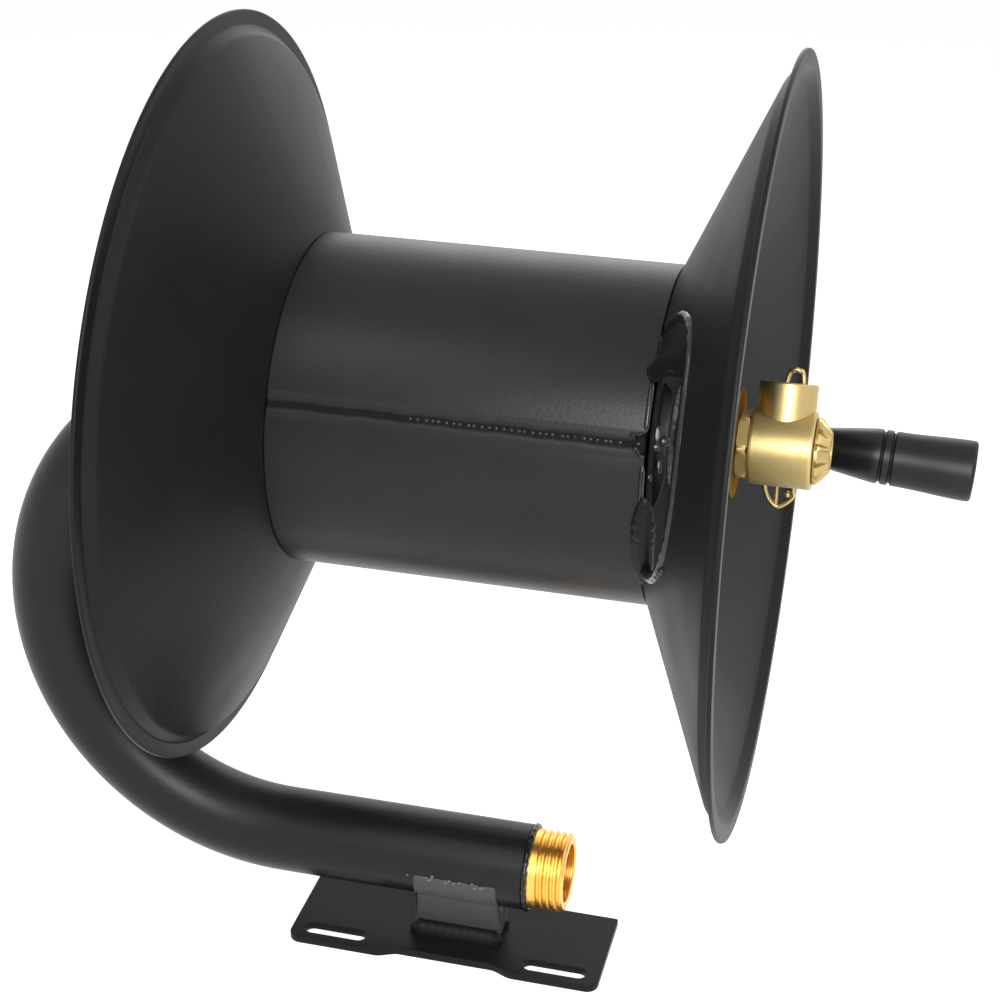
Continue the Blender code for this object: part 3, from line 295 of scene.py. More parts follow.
# Base plate
# A flat steel bar 4 mm thick with two long slots for its bolts, sheared to length, its front corners
# rounded and its front edge ground back a little between the slots, in the same satin powder.
def arc(x, y, radius, start, end, count=9):
    """Give points (x + radius cos a, y + radius sin a) for a from start to end in degrees."""
    a = np.radians(np.linspace(start, end, count))
    return np.stack([x + radius * np.cos(a), y + radius * np.sin(a)], -1)


PLATE_HALF_X, PLATE_HALF_Y, PLATE_CORNER, BACK_CORNER = 0.080, 0.029, 0.006, 0.001
PLATE_TOP, PLATE_EDGE = 0.004, 0.0005
SLOT_X, SLOT_Y, SLOT_RUN, SLOT_END = 0.057, 0.020, 0.012, 0.004
GROUND_LEFT, GROUND_RIGHT, GROUND_RAMP, GROUND_DEPTH = -0.034, 0.025, 0.012, 0.004
run = np.linspace(0, 1, 13)
dip = GROUND_DEPTH * smoothstep(run) - PLATE_HALF_Y
in_x, in_y = PLATE_HALF_X - PLATE_CORNER, PLATE_HALF_Y - PLATE_CORNER
back_x, back_y = PLATE_HALF_X - BACK_CORNER, PLATE_HALF_Y - BACK_CORNER
rims = [np.vstack([arc(-in_x, -in_y, PLATE_CORNER, 180, 270),
                   np.stack([GROUND_LEFT + GROUND_RAMP * run, dip], -1),
                   np.stack([GROUND_RIGHT + GROUND_RAMP * run, dip[::-1]], -1),
                   arc(in_x, -in_y, PLATE_CORNER, 270, 360),
                   arc(back_x, back_y, BACK_CORNER, 0, 90, 4),
                   arc(-back_x, back_y, BACK_CORNER, 90, 180, 4)])]
for side_x in (-SLOT_X, SLOT_X):
    rims.append(np.vstack([arc(side_x + SLOT_RUN, -SLOT_Y, SLOT_END, -90, 90, 15),
                           arc(side_x - SLOT_RUN, -SLOT_Y, SLOT_END, 90, 270, 15)]))
blank = bpy.data.curves.new("plate_outline", "CURVE")
blank.dimensions = "2D"
blank.fill_mode = "BOTH"
blank.extrude = PLATE_TOP / 2 - PLATE_EDGE
blank.bevel_depth = PLATE_EDGE
blank.bevel_resolution = 2
blank.offset = -PLATE_EDGE
for rim in rims:
    line = blank.splines.new("POLY")
    line.points.add(len(rim) - 1)
    line.points.foreach_set("co", np.hstack([rim, np.zeros((len(rim), 1)), np.ones((len(rim), 1))]).ravel())
    line.use_cyclic_u = True
pressing = show("plate_outline", blank)
plate_mesh = bpy.data.meshes.new_from_object(pressing.evaluated_get(bpy.context.evaluated_depsgraph_get()))
bpy.data.objects.remove(pressing)
plate_mesh.transform(Matrix.Translation((0, 0, PLATE_TOP / 2)))
show_mesh("slotted_plate", plate_mesh, satin_coat, "frame", ("base_plate",))

# Stand-off block and its welds
# A short bar of steel between plate and pipe. Its front was painted last with a dry grey coat that
# keeps the saw marks, and welding threw pale spatter along its upper edge. The foot welds are black.

# Dry sprayed coat over upright saw marks 1.5 mm apart: grey, chalky, streaked and pitted
grey_coat, tree, shader, where, _ = new_look(
    "dry_grey_coat_on_sawn_steel", 120.0, 3.0, "#3b3d3c", "#474948", {"Roughness": 0.62})
stretch = add_node(tree, "ShaderNodeMapping", {"Vector": where, "Scale": (1.0, 1.0, 0.35)})
marks = add_node(tree, "ShaderNodeTexNoise", {"Vector": stretch.outputs[0], "Scale": 650.0, "Detail": 4.0})
relief = add_node(tree, "ShaderNodeBump", {"Height": marks.outputs["Fac"], "Strength": 0.3,
                                           "Distance": 0.0005})
tree.links.new(relief.outputs[0], shader.inputs["Normal"])

# FIT is the gap kept between parts that touch
BLOCK_LEFT, BLOCK_RIGHT, BLOCK_HALF, FIT = -0.0190, 0.0252, 0.006, 0.0003
SADDLE_RADIUS, SADDLE_DEG = PIPE_RADIUS + FIT, 16.3
saddle_turn = np.radians(np.linspace(SADDLE_DEG, -SADDLE_DEG, 9))
saddle = np.stack([SADDLE_RADIUS * np.sin(saddle_turn), LOW_Z - SADDLE_RADIUS * np.cos(saddle_turn)], -1)
side = np.vstack([[(-BLOCK_HALF, PLATE_TOP + FIT), (BLOCK_HALF, PLATE_TOP + FIT)], saddle])
middle = side.mean(0)
shrink = np.array([0.90, 0.965, 1.0, 1.0, 0.965, 0.90])[:, None, None]
cut = middle + (side - middle) * shrink
ease = np.array([0, 0.0002, 0.0008])
at_x = np.concatenate([BLOCK_LEFT + ease, BLOCK_RIGHT - ease[::-1]])
bar = np.concatenate([np.broadcast_to(at_x[:, None, None], (6, len(side), 1)), cut], -1)
add_piece("stand_off", [lattice(bar, False)], grey_coat, "frame", ("stand_off_block",))

# Foot welds: ovals half sunk in the plate beside the block, a little past its ends, faintly rippled
FOOT_Y, FOOT_Z, FOOT_WIDE, FOOT_TALL, FOOT_RIPPLE = 0.0077, PLATE_TOP + 0.0018, 0.0044, 0.0056, 0.0044
FOOT_PAST, WELD_STEPS = 0.0020, 140
foot_x = np.linspace(BLOCK_LEFT - FOOT_PAST, BLOCK_RIGHT + FOOT_PAST, WELD_STEPS)
foot_run = np.cumsum(np.diff(foot_x, prepend=foot_x[0]))
foot_grow = 1 + 0.02 * (np.abs(np.sin(math.pi * foot_run / FOOT_RIPPLE)) - 0.6)
foot_ends = np.sqrt(np.clip(np.minimum(foot_run, foot_run[-1] - foot_run) / FOOT_TALL, 0.02, 1))
foot_cut = circle(1.0, 20) * (FOOT_WIDE, FOOT_TALL) * (foot_grow * foot_ends)[:, None, None]

# Flank welds: a skirt of filler climbs from the foot beside the block, and a thin lap goes on up the
# pipe's side, from 42 to 2 degrees below its middle, to a ragged edge
LAP_LOW, LAP_HIGH, LAP_THICK, SKIRT_Z, SKIRT_STEPS = 42, 2, 0.0008, 0.0092, 24
FLANK_LEFT, FLANK_WIDE = -0.0186, 0.0452
along = np.linspace(0, 1, WELD_STEPS)[:, None]
climb = np.linspace(0, 1, SKIRT_STEPS, endpoint=False)[None, :]
lap = np.linspace(0, 1, 32)[None, :]
height = np.hstack([0.6 * climb, 0.6 + 0.4 * lap])
flank_x = FLANK_LEFT + 0.0030 * height + (FLANK_WIDE - 0.0034 * height) * along
lap_x = flank_x[:, SKIRT_STEPS:]
ragged = 0.02 * np.sin(lap_x * 900) + 0.015 * np.sin(lap_x * 2300 + 1)
side_rim = np.clip(1 - np.abs(2 * along - 1) ** 16, 0, 1) ** 0.35
lap_turn = np.radians(LAP_LOW - (LAP_LOW - LAP_HIGH) * lap) + 0 * along
lap_top = PIPE_RADIUS + LAP_THICK * side_rim * np.clip(1 - (lap + ragged) ** 14, 0, 1) ** 0.35
lap_under = PIPE_RADIUS - 0.0004
low_cos, low_sin = math.cos(math.radians(LAP_LOW)), math.sin(math.radians(LAP_LOW))
low_reach = PIPE_RADIUS + LAP_THICK
low_y, low_z = low_reach * low_cos, LOW_Z - low_reach * low_sin
skirt_z = SKIRT_Z + (low_z - SKIRT_Z) * climb + 0 * along
skirt_top = 0.0050 + side_rim * smoothstep(climb * 8 + 0.1) * (0.0022 + (low_y - 0.0072) * climb)
skirt_under = 0.0045 + (lap_under * low_cos - 0.0055) * climb ** 3 + 0 * along
outer_y = np.hstack([skirt_top, lap_top * np.cos(lap_turn)])
outer_z = np.hstack([skirt_z, LOW_Z - lap_top * np.sin(lap_turn)])
inner_y = np.hstack([skirt_under, lap_under * np.cos(lap_turn)])
inner_z = np.hstack([skirt_z, LOW_Z - lap_under * np.sin(lap_turn)])
for sign, end in ((-1, "front"), (1, "back")):
    foot = np.stack([foot_x, np.full(WELD_STEPS, sign * FOOT_Y), np.full(WELD_STEPS, FOOT_Z)], -1)
    add_piece(f"foot_weld_{end}", [lattice(swept(foot, (0, 1, 0), foot_cut), False)], satin_coat, "frame",
              (f"block_weld_{end}",))
    outer = np.stack([flank_x, sign * outer_y, outer_z], -1)
    inner = np.stack([flank_x, sign * inner_y, inner_z], -1)
    add_piece(f"flank_weld_{end}", [lattice(np.concatenate([outer, inner[:, ::-1]], 1), False)], grey_coat,
              "frame", (f"block_weld_top_{end}",))

# Beads of thrown metal under the grey coat: lighter than the block, smooth and a little shiny
pale_spatter = new_look("pale_weld_spatter", 400.0, 2.0, "#5d5f5d", "#8b8c8a", {"Roughness": 0.35})[0]


def ball(sides, rows, pole):
    """Give a unit ball in rows: (sin b cos a, sin b sin a, cos b), where b stops short of both poles."""
    a = np.linspace(0, math.tau, sides, endpoint=False)
    b = np.linspace(pole, math.pi - pole, rows)[:, None]
    return np.stack([np.sin(b) * np.cos(a), np.sin(b) * np.sin(a), np.cos(b) + 0 * a], -1)


def beads(places, sizes, squash=0.7):
    """Set a small ball at each place, squashed along Z: place + size (x, y, squash z)."""
    bead = ball(10, 6, 0.25) * (1, 1, squash)
    return [lattice(place + size * bead, False) for place, size in zip(places, sizes)]


SPATTER_COUNT, SPATTER_RADIUS = 16, PIPE_RADIUS + 0.0004
spatter_seed = np.random.default_rng(7)
spot_x = spatter_seed.uniform(BLOCK_LEFT, BLOCK_RIGHT - 0.001, SPATTER_COUNT)
spot_turn = np.radians(spatter_seed.normal(6, 3, SPATTER_COUNT))
spots = np.stack([spot_x, -SPATTER_RADIUS * np.cos(spot_turn),
                  LOW_Z - SPATTER_RADIUS * np.sin(spot_turn)], -1)
add_piece("spatter_on_block", beads(spots, spatter_seed.uniform(0.0006, 0.0009, SPATTER_COUNT)),
          pale_spatter, "frame", ())

# Threaded stub and its end weld
# A brass pipe end with a coarse outside thread, turned and threaded on a lathe, pushed into the open
# pipe and held by a thin ring of weld under the black powder.

# Freshly turned yellow brass: deep golden, sharp reflections broken by the tool's rings, which are
# drawn 1 mm apart, coarser than real ones, so that they show
golden_brass, tree, shader, where, _ = new_look(
    "bright_turned_brass", 160.0, 3.0, "#f4b03c", "#ffd47a", {"Metallic": 1.0, "Roughness": 0.30})
tool_marks = add_node(tree, "ShaderNodeTexWave", {"Vector": where, "Scale": 320.0, "Distortion": 0.6},
                      wave_type="BANDS", bands_direction="X")
relief = add_node(tree, "ShaderNodeBump", {"Height": tool_marks.outputs["Fac"], "Strength": 0.15,
                                           "Distance": 0.0002})
tree.links.new(relief.outputs[0], shader.inputs["Normal"])

# Powder that flowed thick over hot weld: wet looking, with a slow swell where it ran
gloss_coat, tree, shader, _, clouds = new_look(
    "gloss_black_coat_over_weld", 260.0, 2.0, "#121313", "#1c1d1d",
    {"Roughness": 0.22, "Specular IOR Level": 0.4})
relief = add_node(tree, "ShaderNodeBump", {"Height": clouds, "Strength": 0.14, "Distance": 0.0008})
tree.links.new(relief.outputs[0], shader.inputs["Normal"])


def spokes_about(along, steps):
    """Give unit spokes square to an axis: cos a u + sin a v, u the axis crossed with its rolled self."""
    first = np.cross(along, np.roll(along, 1))
    first /= np.linalg.norm(first)
    a = np.linspace(0, math.tau, steps, endpoint=False)[:, None]
    return np.cos(a) * first + np.sin(a) * np.cross(along, first)


def turned(outline, base, along=(1, 0, 0), steps=96, loop=True):
    """Turn an outline of (distance, radius) about an axis: base + distance along + radius spoke."""
    along = np.array(along, float) / np.linalg.norm(along)
    spoke = spokes_about(along, steps)
    outline = np.asarray(outline, float)
    if outline.ndim == 2:
        outline = outline[:, None]
    return lattice(np.array(base) + outline[..., :1] * along + outline[..., 1:] * spoke, loop)


def rows_round(outline, steps):
    """Repeat an outline of (distance, radius) round all steps of a grid that isn't round all over."""
    return np.broadcast_to(np.asarray(outline, float)[:, None], (len(outline), steps, 2))


def hoop(x, radius, z, steps):
    """Give a ring about a line along X, its last point on its first: (x, radius cos a, z + radius sin a)."""
    a = np.linspace(0, math.tau, steps + 1)
    return np.stack([np.full(steps + 1, x), radius * np.cos(a), z + radius * np.sin(a)], -1)


STUB_START, STUB_END, STUB_RADIUS, STUB_BORE, STUB_STEPS = 0.0388, 0.0588, 0.0197, 0.0145, 120
STUB_IN, STUB_FLOOR, SPIGOT_RADIUS = 0.0188, 0.0218, 0.0174
THREAD_PITCH, THREAD_DEPTH, THREAD_START = 0.0034, 0.0014, 0.0440
turn = np.linspace(0, 1, STUB_STEPS, endpoint=False)[None, :]
reach = np.linspace(THREAD_START - 0.0008, STUB_END - 0.0003, 130)[:, None]
ridge = np.clip(0.5 + 0.9 * np.cos(math.tau * ((reach - THREAD_START) / THREAD_PITCH - turn)), 0, 1)
cut_in = smoothstep((reach - THREAD_START) / 0.0012)
run_off = smoothstep((reach - STUB_END + 0.0016) / 0.0013)
ridge_radius = STUB_RADIUS - THREAD_DEPTH * np.maximum(cut_in * (1 - ridge), run_off)
spigot = rows_round([(STUB_IN, 0.0010), (STUB_IN, SPIGOT_RADIUS - 0.0002), (STUB_IN + 0.0002, SPIGOT_RADIUS),
                     (STUB_START, SPIGOT_RADIUS), (STUB_START, 0.0193),
                     (STUB_START + 0.0004, STUB_RADIUS)], STUB_STEPS)
mouth = rows_round([(STUB_END, STUB_RADIUS - THREAD_DEPTH - 0.0003), (STUB_END, STUB_BORE + 0.0005),
                    (STUB_END - 0.0005, STUB_BORE), (STUB_FLOOR + 0.0004, STUB_BORE), (STUB_FLOOR, 0.0140),
                    (STUB_FLOOR, 0.0010)], STUB_STEPS)
stub_shape = np.concatenate([spigot, np.stack([reach + 0 * turn, ridge_radius], -1), mouth])
add_piece("brass_stub", [turned(stub_shape, (0, 0, LOW_Z), steps=STUB_STEPS, loop=False)], golden_brass,
          "frame", ("threaded_stub",))
ripple = 1 + 0.10 * np.sin(np.linspace(0, math.tau, 181) * 26)[:, None, None]
end_weld = swept(hoop(STUB_START + 0.0012, 0.0206, LOW_Z, 180), (1, 0, 0), circle(0.0013, 14) * ripple)
add_piece("pipe_end_weld", [lattice(end_weld[:-1], True)], gloss_coat, "frame", ("tube_end_ring",))


# Dished flanges
# Two 2 mm steel sheets spun to a shallow cone with a stepped flat rim, welded to the drum's ends. The
# right one has the hose opening cut through it, so its grid starts further out between those angles.
def about_axle(x, radius, degrees):
    """Give points round the drum's axis, from -Y towards +Z: (x, -radius cos a, axis + radius sin a)."""
    a = np.radians(degrees)
    return np.stack(np.broadcast_arrays(x, -radius * np.cos(a), AXIS_Z + radius * np.sin(a)), -1)


FLANGE_RADIUS, DRUM_RADIUS, DRUM_LEFT, DRUM_RIGHT = 0.175, 0.0768, -0.0683, 0.0981
SLOPE, SHEET, DISH_EDGE = 0.44501, 0.002, 0.0748
SHEET_OUT = SHEET * math.hypot(1, SLOPE)
STEP_RADIUS, FLAT_RADIUS, RIM_EASE = 0.164, 0.168, 0.1746
FLAT_OUT = (FLAT_RADIUS - DRUM_RADIUS) * SLOPE + 0.003
STEP_OUT = (STEP_RADIUS - DRUM_RADIUS) * SLOPE
dish_line = [(0, DISH_EDGE), (0, DRUM_RADIUS), (STEP_OUT, STEP_RADIUS), (FLAT_OUT - 0.0010, 0.1670),
             (FLAT_OUT, FLAT_RADIUS), (FLAT_OUT, RIM_EASE), (FLAT_OUT + 0.0005, FLANGE_RADIUS),
             (FLAT_OUT + 0.0015, FLANGE_RADIUS), (FLAT_OUT + SHEET, RIM_EASE),
             (FLAT_OUT + SHEET, FLAT_RADIUS), (STEP_OUT + SHEET_OUT - 0.0004, 0.1632), (SHEET, 0.0763),
             (SHEET, DISH_EDGE)]
dish_ease = np.array([2, 12, 14, 6, 10, 4, 4, 4, 4, 10, 12, 4, 2]) * 0.0001


def dish_grid(base, way, angles, inner):
    """Spin the dish's outline: rows below the step slide from inner(angle) to it on the cone's slope."""
    outline = eased(dish_line, dish_ease)
    cone_in, cone_out = (np.linspace(dish_line[start], dish_line[start + 1], 9)[1:-1] for start in (1, 10))
    first, last = 2 * CORNER_POINTS, 11 * CORNER_POINTS
    outline = np.vstack([outline[:first], cone_in, outline[first:last], cone_out, outline[last:]])
    out, radius = outline[:, :1], outline[:, 1:]
    still = STEP_RADIUS - 0.001
    slide = np.clip((still - radius) / (still - DISH_EDGE), 0, 1)
    moved = radius + slide * (inner[None, :] - DISH_EDGE)
    lift = (np.maximum(moved, DRUM_RADIUS) - np.maximum(radius, DRUM_RADIUS)) * SLOPE
    return about_axle(base + way * (out + lift), moved, angles[None, :])


even = np.arange(0, 360, 1.5)
add_piece("left_dish", [lattice(dish_grid(DRUM_LEFT, -1, even, np.full(even.size, DISH_EDGE)), True)],
          satin_coat, "drum", ("left_flange",))

PORT_LOW, PORT_WIDEST, PORT_HIGH = -24, 20, 57


def port_line(angle):
    """Give the opening's outer radius: 79.9 + 39.1 (1 - drop) mm, drop a power of the way from its widest."""
    low = np.clip((PORT_WIDEST - angle) / (PORT_WIDEST - PORT_LOW), 0, 1) ** 2.3
    high = np.clip((angle - PORT_WIDEST) / (PORT_HIGH - PORT_WIDEST), 0, 1) ** 5
    return 0.0799 + 0.0391 * (1 - np.where(angle < PORT_WIDEST, low, high))


fine = np.concatenate([np.arange(-30, 64, 0.25), np.arange(64, 330, 1.5)])
edge = np.where((fine > PORT_LOW) & (fine < PORT_HIGH), port_line(fine), DISH_EDGE)
add_piece("right_dish", [lattice(dish_grid(DRUM_RIGHT, 1, fine, edge), True)], satin_coat, "drum",
          ("right_flange",))


# End discs
# Flat sheets inside the drum's ends, flame cut; the right one is cut back behind the hose opening,
# where hardly any powder reached it.
def disc(start, end, hub, rims, angles):
    """Fill a ring of sheet, its edges rounded by e, from the hub's radius to one rim radius per angle."""
    e = 0.0004
    outline = np.array([(start + e, 0), (start, e), (start, 1 - e), (start + e, 1),
                        (end - e, 1), (end, 1 - e), (end, e), (end - e, 0)])
    inner_part = (np.abs(outline[:, 1]) < 0.5)[:, None]
    radius = np.where(inner_part, hub + outline[:, 1:], rims[None, :] - (1 - outline[:, 1:]))
    return about_axle(outline[:, :1], radius, angles[None, :])


# Powder that hardly reached the inside of the opening: a dry, dull, near black dust
dry_coat = new_look("thin_dry_black_powder", 240.0, 3.0, "#181918", "#2b2d2c",
                    {"Roughness": 0.9, "Specular IOR Level": 0.05})[0]
SLEEVE_HOLE, BOSS_HOLE, DISC_RADIUS, CUT_DEPTH = 0.0147, 0.0193, 0.0745, 0.0075
left_rim = np.full(even.size, DISC_RADIUS)
right_rim = DISC_RADIUS - CUT_DEPTH * np.interp(fine, [-18.9, -9, 46, 53.3], [0, 1, 1, 0])
left_grid = disc(DRUM_LEFT - SHEET, DRUM_LEFT, SLEEVE_HOLE, left_rim, even)
right_grid = disc(DRUM_RIGHT, DRUM_RIGHT + SHEET, BOSS_HOLE, right_rim, fine)
add_piece("left_disc", [lattice(left_grid, True)], satin_coat, "drum", ("left_end_disc",))
add_piece("right_disc", [lattice(right_grid, True)], dry_coat, "drum", ("right_end_disc",))


# Drum and its seam
# One sheet rolled to a tube 154 mm across and welded along its length: the weld lies in a shallow
# groove, rippled every 3 mm, and ends at the right in a ragged crater where the arc was broken off.
def sleeve(start, end, inner, outer, ease):
    """Outline a plain ring or rod: its four (distance, radius) corners, eased."""
    return eased([(start, inner), (start, outer), (end, outer), (end, inner)], ease)


SEAM_DEG, SEAM_HALF_DEG, GROOVE_DEPTH = 19.0, 4.0, 0.0014
seam_low, seam_high = SEAM_DEG - SEAM_HALF_DEG, SEAM_DEG + SEAM_HALF_DEG
drum_turn = np.concatenate([np.arange(seam_high, SEAM_DEG + 360 - SEAM_HALF_DEG + 0.1, 2.0),
                            [seam_low + 0.05, seam_high - 0.05]])
drum_drop = np.zeros(drum_turn.size)
drum_drop[-2:] = GROOVE_DEPTH
tube_line = sleeve(DRUM_LEFT + FIT, DRUM_RIGHT - FIT, DRUM_RADIUS - SHEET, DRUM_RADIUS,
                   np.array([0.0003, 0.0003, 0.0012, 0.0003]))
outer_side = tube_line[:, 1:] > DRUM_RADIUS - 0.0009
shell_radius = tube_line[:, 1:] - outer_side * drum_drop[None, :]
add_piece("rolled_shell", [lattice(about_axle(tube_line[:, :1], shell_radius, drum_turn[None, :]), True)],
          smooth_coat, "drum", ("drum_shell",), 40)

# The same powder, duller down in the groove and the crater, with shade painted there as a near black colour,
# where the piece's own attribute says so
seam_coat_with_painted_shade, tree, shader = copy_look(smooth_coat, "smooth_black_powder_coat_with_painted_seam_shade")
shade_and_dull = add_node(tree, "ShaderNodeAttribute", attribute_name="painted_shade_and_dull_powder").outputs["Fac"]
colour, dull = (shader.inputs[socket].links[0].from_socket for socket in ("Base Color", "Roughness"))
# Painted shade: the groove and crater take a near black colour, mixed in by the attribute
painted_groove_shade = add_node(tree, "ShaderNodeMix", {"Factor": shade_and_dull, 6: colour, 7: (*linear("#0b0b0b"), 1)},
                  data_type="RGBA")
duller = add_node(tree, "ShaderNodeMix", {"Factor": shade_and_dull, 2: dull, 3: 0.85})
tree.links.new(painted_groove_shade.outputs[2], shader.inputs["Base Color"])
tree.links.new(duller.outputs[0], shader.inputs["Roughness"])

# The face of the weld: heights over the drum from ripples in a trough and, at the end, the crater
RIPPLE_PITCH, RIPPLE_START, RIPPLE_END = 0.0031, -0.003, 0.086
CRATER_X, CRATER_OFF, CRATER_LONG, CRATER_WIDE = 0.0982, 0.0003, 0.0048, 0.0042
seam_x = np.linspace(DRUM_LEFT + 0.0008, DRUM_RIGHT - 0.0006, 640)[:, None]
across = np.linspace(-4.9, 4.9, 72)[None, :]
offset = np.radians(across) * DRUM_RADIUS
wander = 0.0002 * np.sin(seam_x * 210) + 0.0001 * np.sin(seam_x * 530 + 2)
from_line = np.abs(offset - wander)
rippled = smoothstep((seam_x - RIPPLE_START) / 0.004) * (1 - smoothstep((seam_x - RIPPLE_END) / 0.004))
ripple = 0.5 + 0.5 * np.cos(math.tau * (seam_x + 8 * from_line ** 1.5) / RIPPLE_PITCH)
crest = np.exp(-(from_line / 0.0007) ** 2)
trough = -0.0013 * np.exp(-(from_line / 0.0017) ** 2) + 0.0004 * rippled * ripple ** 3 * crest
crater_turn = np.arctan2(offset - CRATER_OFF, seam_x - CRATER_X)
ragged = (1 + 0.16 * np.sin(3 * crater_turn + 0.6) + 0.12 * np.sin(7 * crater_turn + 1.9)
          + 0.05 * np.sin(13 * crater_turn))
crater_way = np.hypot((seam_x - CRATER_X) / CRATER_LONG, (offset - CRATER_OFF) / CRATER_WIDE) / ragged
crater = (0.0006 * np.exp(-((crater_way - 1.12) / 0.16) ** 2)
          - GROOVE_DEPTH * (1 - smoothstep((crater_way - 0.75) / 0.3)))
calm = smoothstep((crater_way - 0.9) / 0.4)
relief_height = np.maximum(trough * calm + crater, -GROOVE_DEPTH)
# Where shade is painted on the seam and its powder made duller: down in the groove, less on the ripples'
# crests, and all over the crater
in_groove = np.exp(-(from_line / 0.0019) ** 4) * (1 - 0.6 * rippled * ripple ** 3 * crest)
shade_and_dullness = np.maximum(in_groove, 1 - smoothstep((crater_way - 0.8) / 0.3))
fade = smoothstep((SEAM_HALF_DEG - np.abs(across)) / 0.5)
weld_top = DRUM_RADIUS + 0.00003 - 0.00010 * smoothstep((np.abs(across) - 4.1) / 0.8) + relief_height * fade
weld_face = about_axle(seam_x, weld_top, SEAM_DEG + across)
weld_under = about_axle(seam_x, DRUM_RADIUS - 0.0017, SEAM_DEG + across)
seam = add_piece("seam_weld", [lattice(np.concatenate([weld_face, weld_under[:, ::-1]], 1), False)],
                 seam_coat_with_painted_shade, "drum", ("drum_seam_weld",), 50)
# The painted shade and dullness go on the weld's face only, not its underside
shade_and_dull_value = np.zeros(len(seam.data.vertices))
shade_and_dull_value[:2 * shade_and_dullness.size] = np.hstack([shade_and_dullness, 0 * shade_and_dullness]).ravel()
seam.data.attributes.new("painted_shade_and_dull_powder", "FLOAT", "POINT").data.foreach_set("value", shade_and_dull_value)

# Wet beads: one sunk in the groove at each ripple, and three small ones that stand by the crater
ripple_x = np.arange(RIPPLE_START, 0.0900, RIPPLE_PITCH)
ripple_x += np.random.default_rng(3).uniform(-0.0008, 0.0008, ripple_x.size)
ripple_x = np.concatenate([ripple_x, [0.0940, 0.0949, 0.0967]])
ripple_turn = np.concatenate([np.full(ripple_x.size - 3, SEAM_DEG), [17.6, 19.3, 15.4]])
on_ripple = ripple_x < 0.0905
ripple_places = about_axle(ripple_x, DRUM_RADIUS - np.where(on_ripple, 0.0021, 0.0004), ripple_turn)
add_piece("seam_ripples", beads(ripple_places, np.where(on_ripple, 0.0013, 0.0011), 1.0), gloss_coat, "drum",
          (), 60)


# Hose opening's trim
# A 5 mm rod bent round the opening and welded into the dish's cut edge, a web of sheet that closes its
# upper corner, a wall turned out along its inner edge, and a thick weld below, all wet with powder.
def on_dish(angle, radius, out=0.0):
    """Give points of the right dish's drum side, DRUM_RIGHT + (radius - drum's) slope, out further out."""
    rise = (np.maximum(radius, DRUM_RADIUS) - DRUM_RADIUS) * SLOPE
    return about_axle(DRUM_RIGHT + rise + out, radius, angle)


def smooth_loop(points, steps, closed=True):
    """Run a Catmull-Rom line through points: 0.5 (2B + (C-A)t + (2A-5B+4C-D)t^2 + (3B-A-3C+D)t^3)."""
    points = np.asarray(points, float)
    if closed:
        a, b, c, d = (np.roll(points, n, 0) for n in (1, 0, -1, -2))
    else:
        padded = np.vstack([2 * points[0] - points[1], points, 2 * points[-1] - points[-2]])
        a, b, c, d = padded[:-3], padded[1:-2], padded[2:-1], padded[3:]
    t = np.linspace(0, 1, steps, endpoint=False)[None, :, None]
    a, b, c, d = (p[:, None] for p in (a, b, c, d))
    bend_2, bend_3 = 2 * a - 5 * b + 4 * c - d, 3 * b - a - 3 * c + d
    return (0.5 * (2 * b + (c - a) * t + bend_2 * t ** 2 + bend_3 * t ** 3)).reshape(-1, points.shape[1])


def blunt_ends(count, first, last, least):
    """Give sizes that round off a carried section: sqrt(steps from an end / steps that the end takes)."""
    step = np.arange(count)
    return np.sqrt(np.clip(np.minimum(step / first, step[::-1] / last), least, 1))[:, None, None]


# Powder that ran together over the trimming welds: smooth, dark, with soft broad lights
wet_coat, tree, shader, _, clouds = new_look(
    "thick_black_powder_on_weld", 140.0, 1.0, "#0f1010", "#171818",
    {"Roughness": 0.36, "Specular IOR Level": 0.14})
relief = add_node(tree, "ShaderNodeBump", {"Height": clouds, "Strength": 0.25, "Distance": 0.0015})
tree.links.new(relief.outputs[0], shader.inputs["Normal"])

rod_share = np.linspace(0.05, 0.95, 150)
rod_angle = PORT_LOW + (PORT_HIGH - PORT_LOW) * (0.5 - 0.5 * np.cos(math.pi * rod_share))
rod_line = on_dish(rod_angle, port_line(rod_angle), SHEET_OUT / 2)
rod_run = np.cumsum(np.concatenate([[0], np.linalg.norm(np.diff(rod_line, axis=0), axis=1)]))
thick = 0.0026 * (1 + 0.035 * np.sin(rod_run * 900) + 0.03 * np.sin(rod_run * 370 + 1))
rod_skin = swept(rod_line, (1, 0, 0), circle(1.0, 24) * thick[:, None, None])
add_piece("opening_rod", [lattice(rod_skin, False)], gloss_coat, "drum", ("port_rim_rod",), 50)

# The web spans from the drum's end out to the rod, hollowed a little, with a bead along its free edge
WEB_THICK, WEB_HIGH, WEB_NEAR_LOW, WEB_FAR_LOW = 0.0016, 55, 39.5, 34
web_share = np.linspace(0, 1, 40)[:, None]
web_side = np.linspace(0, 1, 30)[None, :]
near_angle = WEB_NEAR_LOW + (WEB_HIGH - WEB_NEAR_LOW) * web_share
far_angle = WEB_FAR_LOW + (WEB_HIGH - WEB_FAR_LOW) * web_share
near = on_dish(near_angle, 0.0774 + 0 * near_angle)
near[..., 0] -= 0.0034 * np.exp(-((web_share - 0.20) / 0.20) ** 2)
far = on_dish(far_angle, port_line(far_angle) - 0.0006, 0.0002)
web_face = near * (1 - web_side[..., None]) + far * web_side[..., None]
hollow = np.sin(math.pi * web_side)
web_face[..., 0] -= 0.0012 * hollow ** 0.7 * np.sin(math.pi * np.clip(web_share + 0.15, 0, 1))
web_face[..., 2] += 0.0030 * hollow * (1 - web_share) ** 3
web_back = web_face + (WEB_THICK, 0, 0)
web_rim = smooth_loop(np.vstack([web_face[::-6, 0], web_face[0, ::6]]) + (WEB_THICK / 2, 0, 0), 6, False)
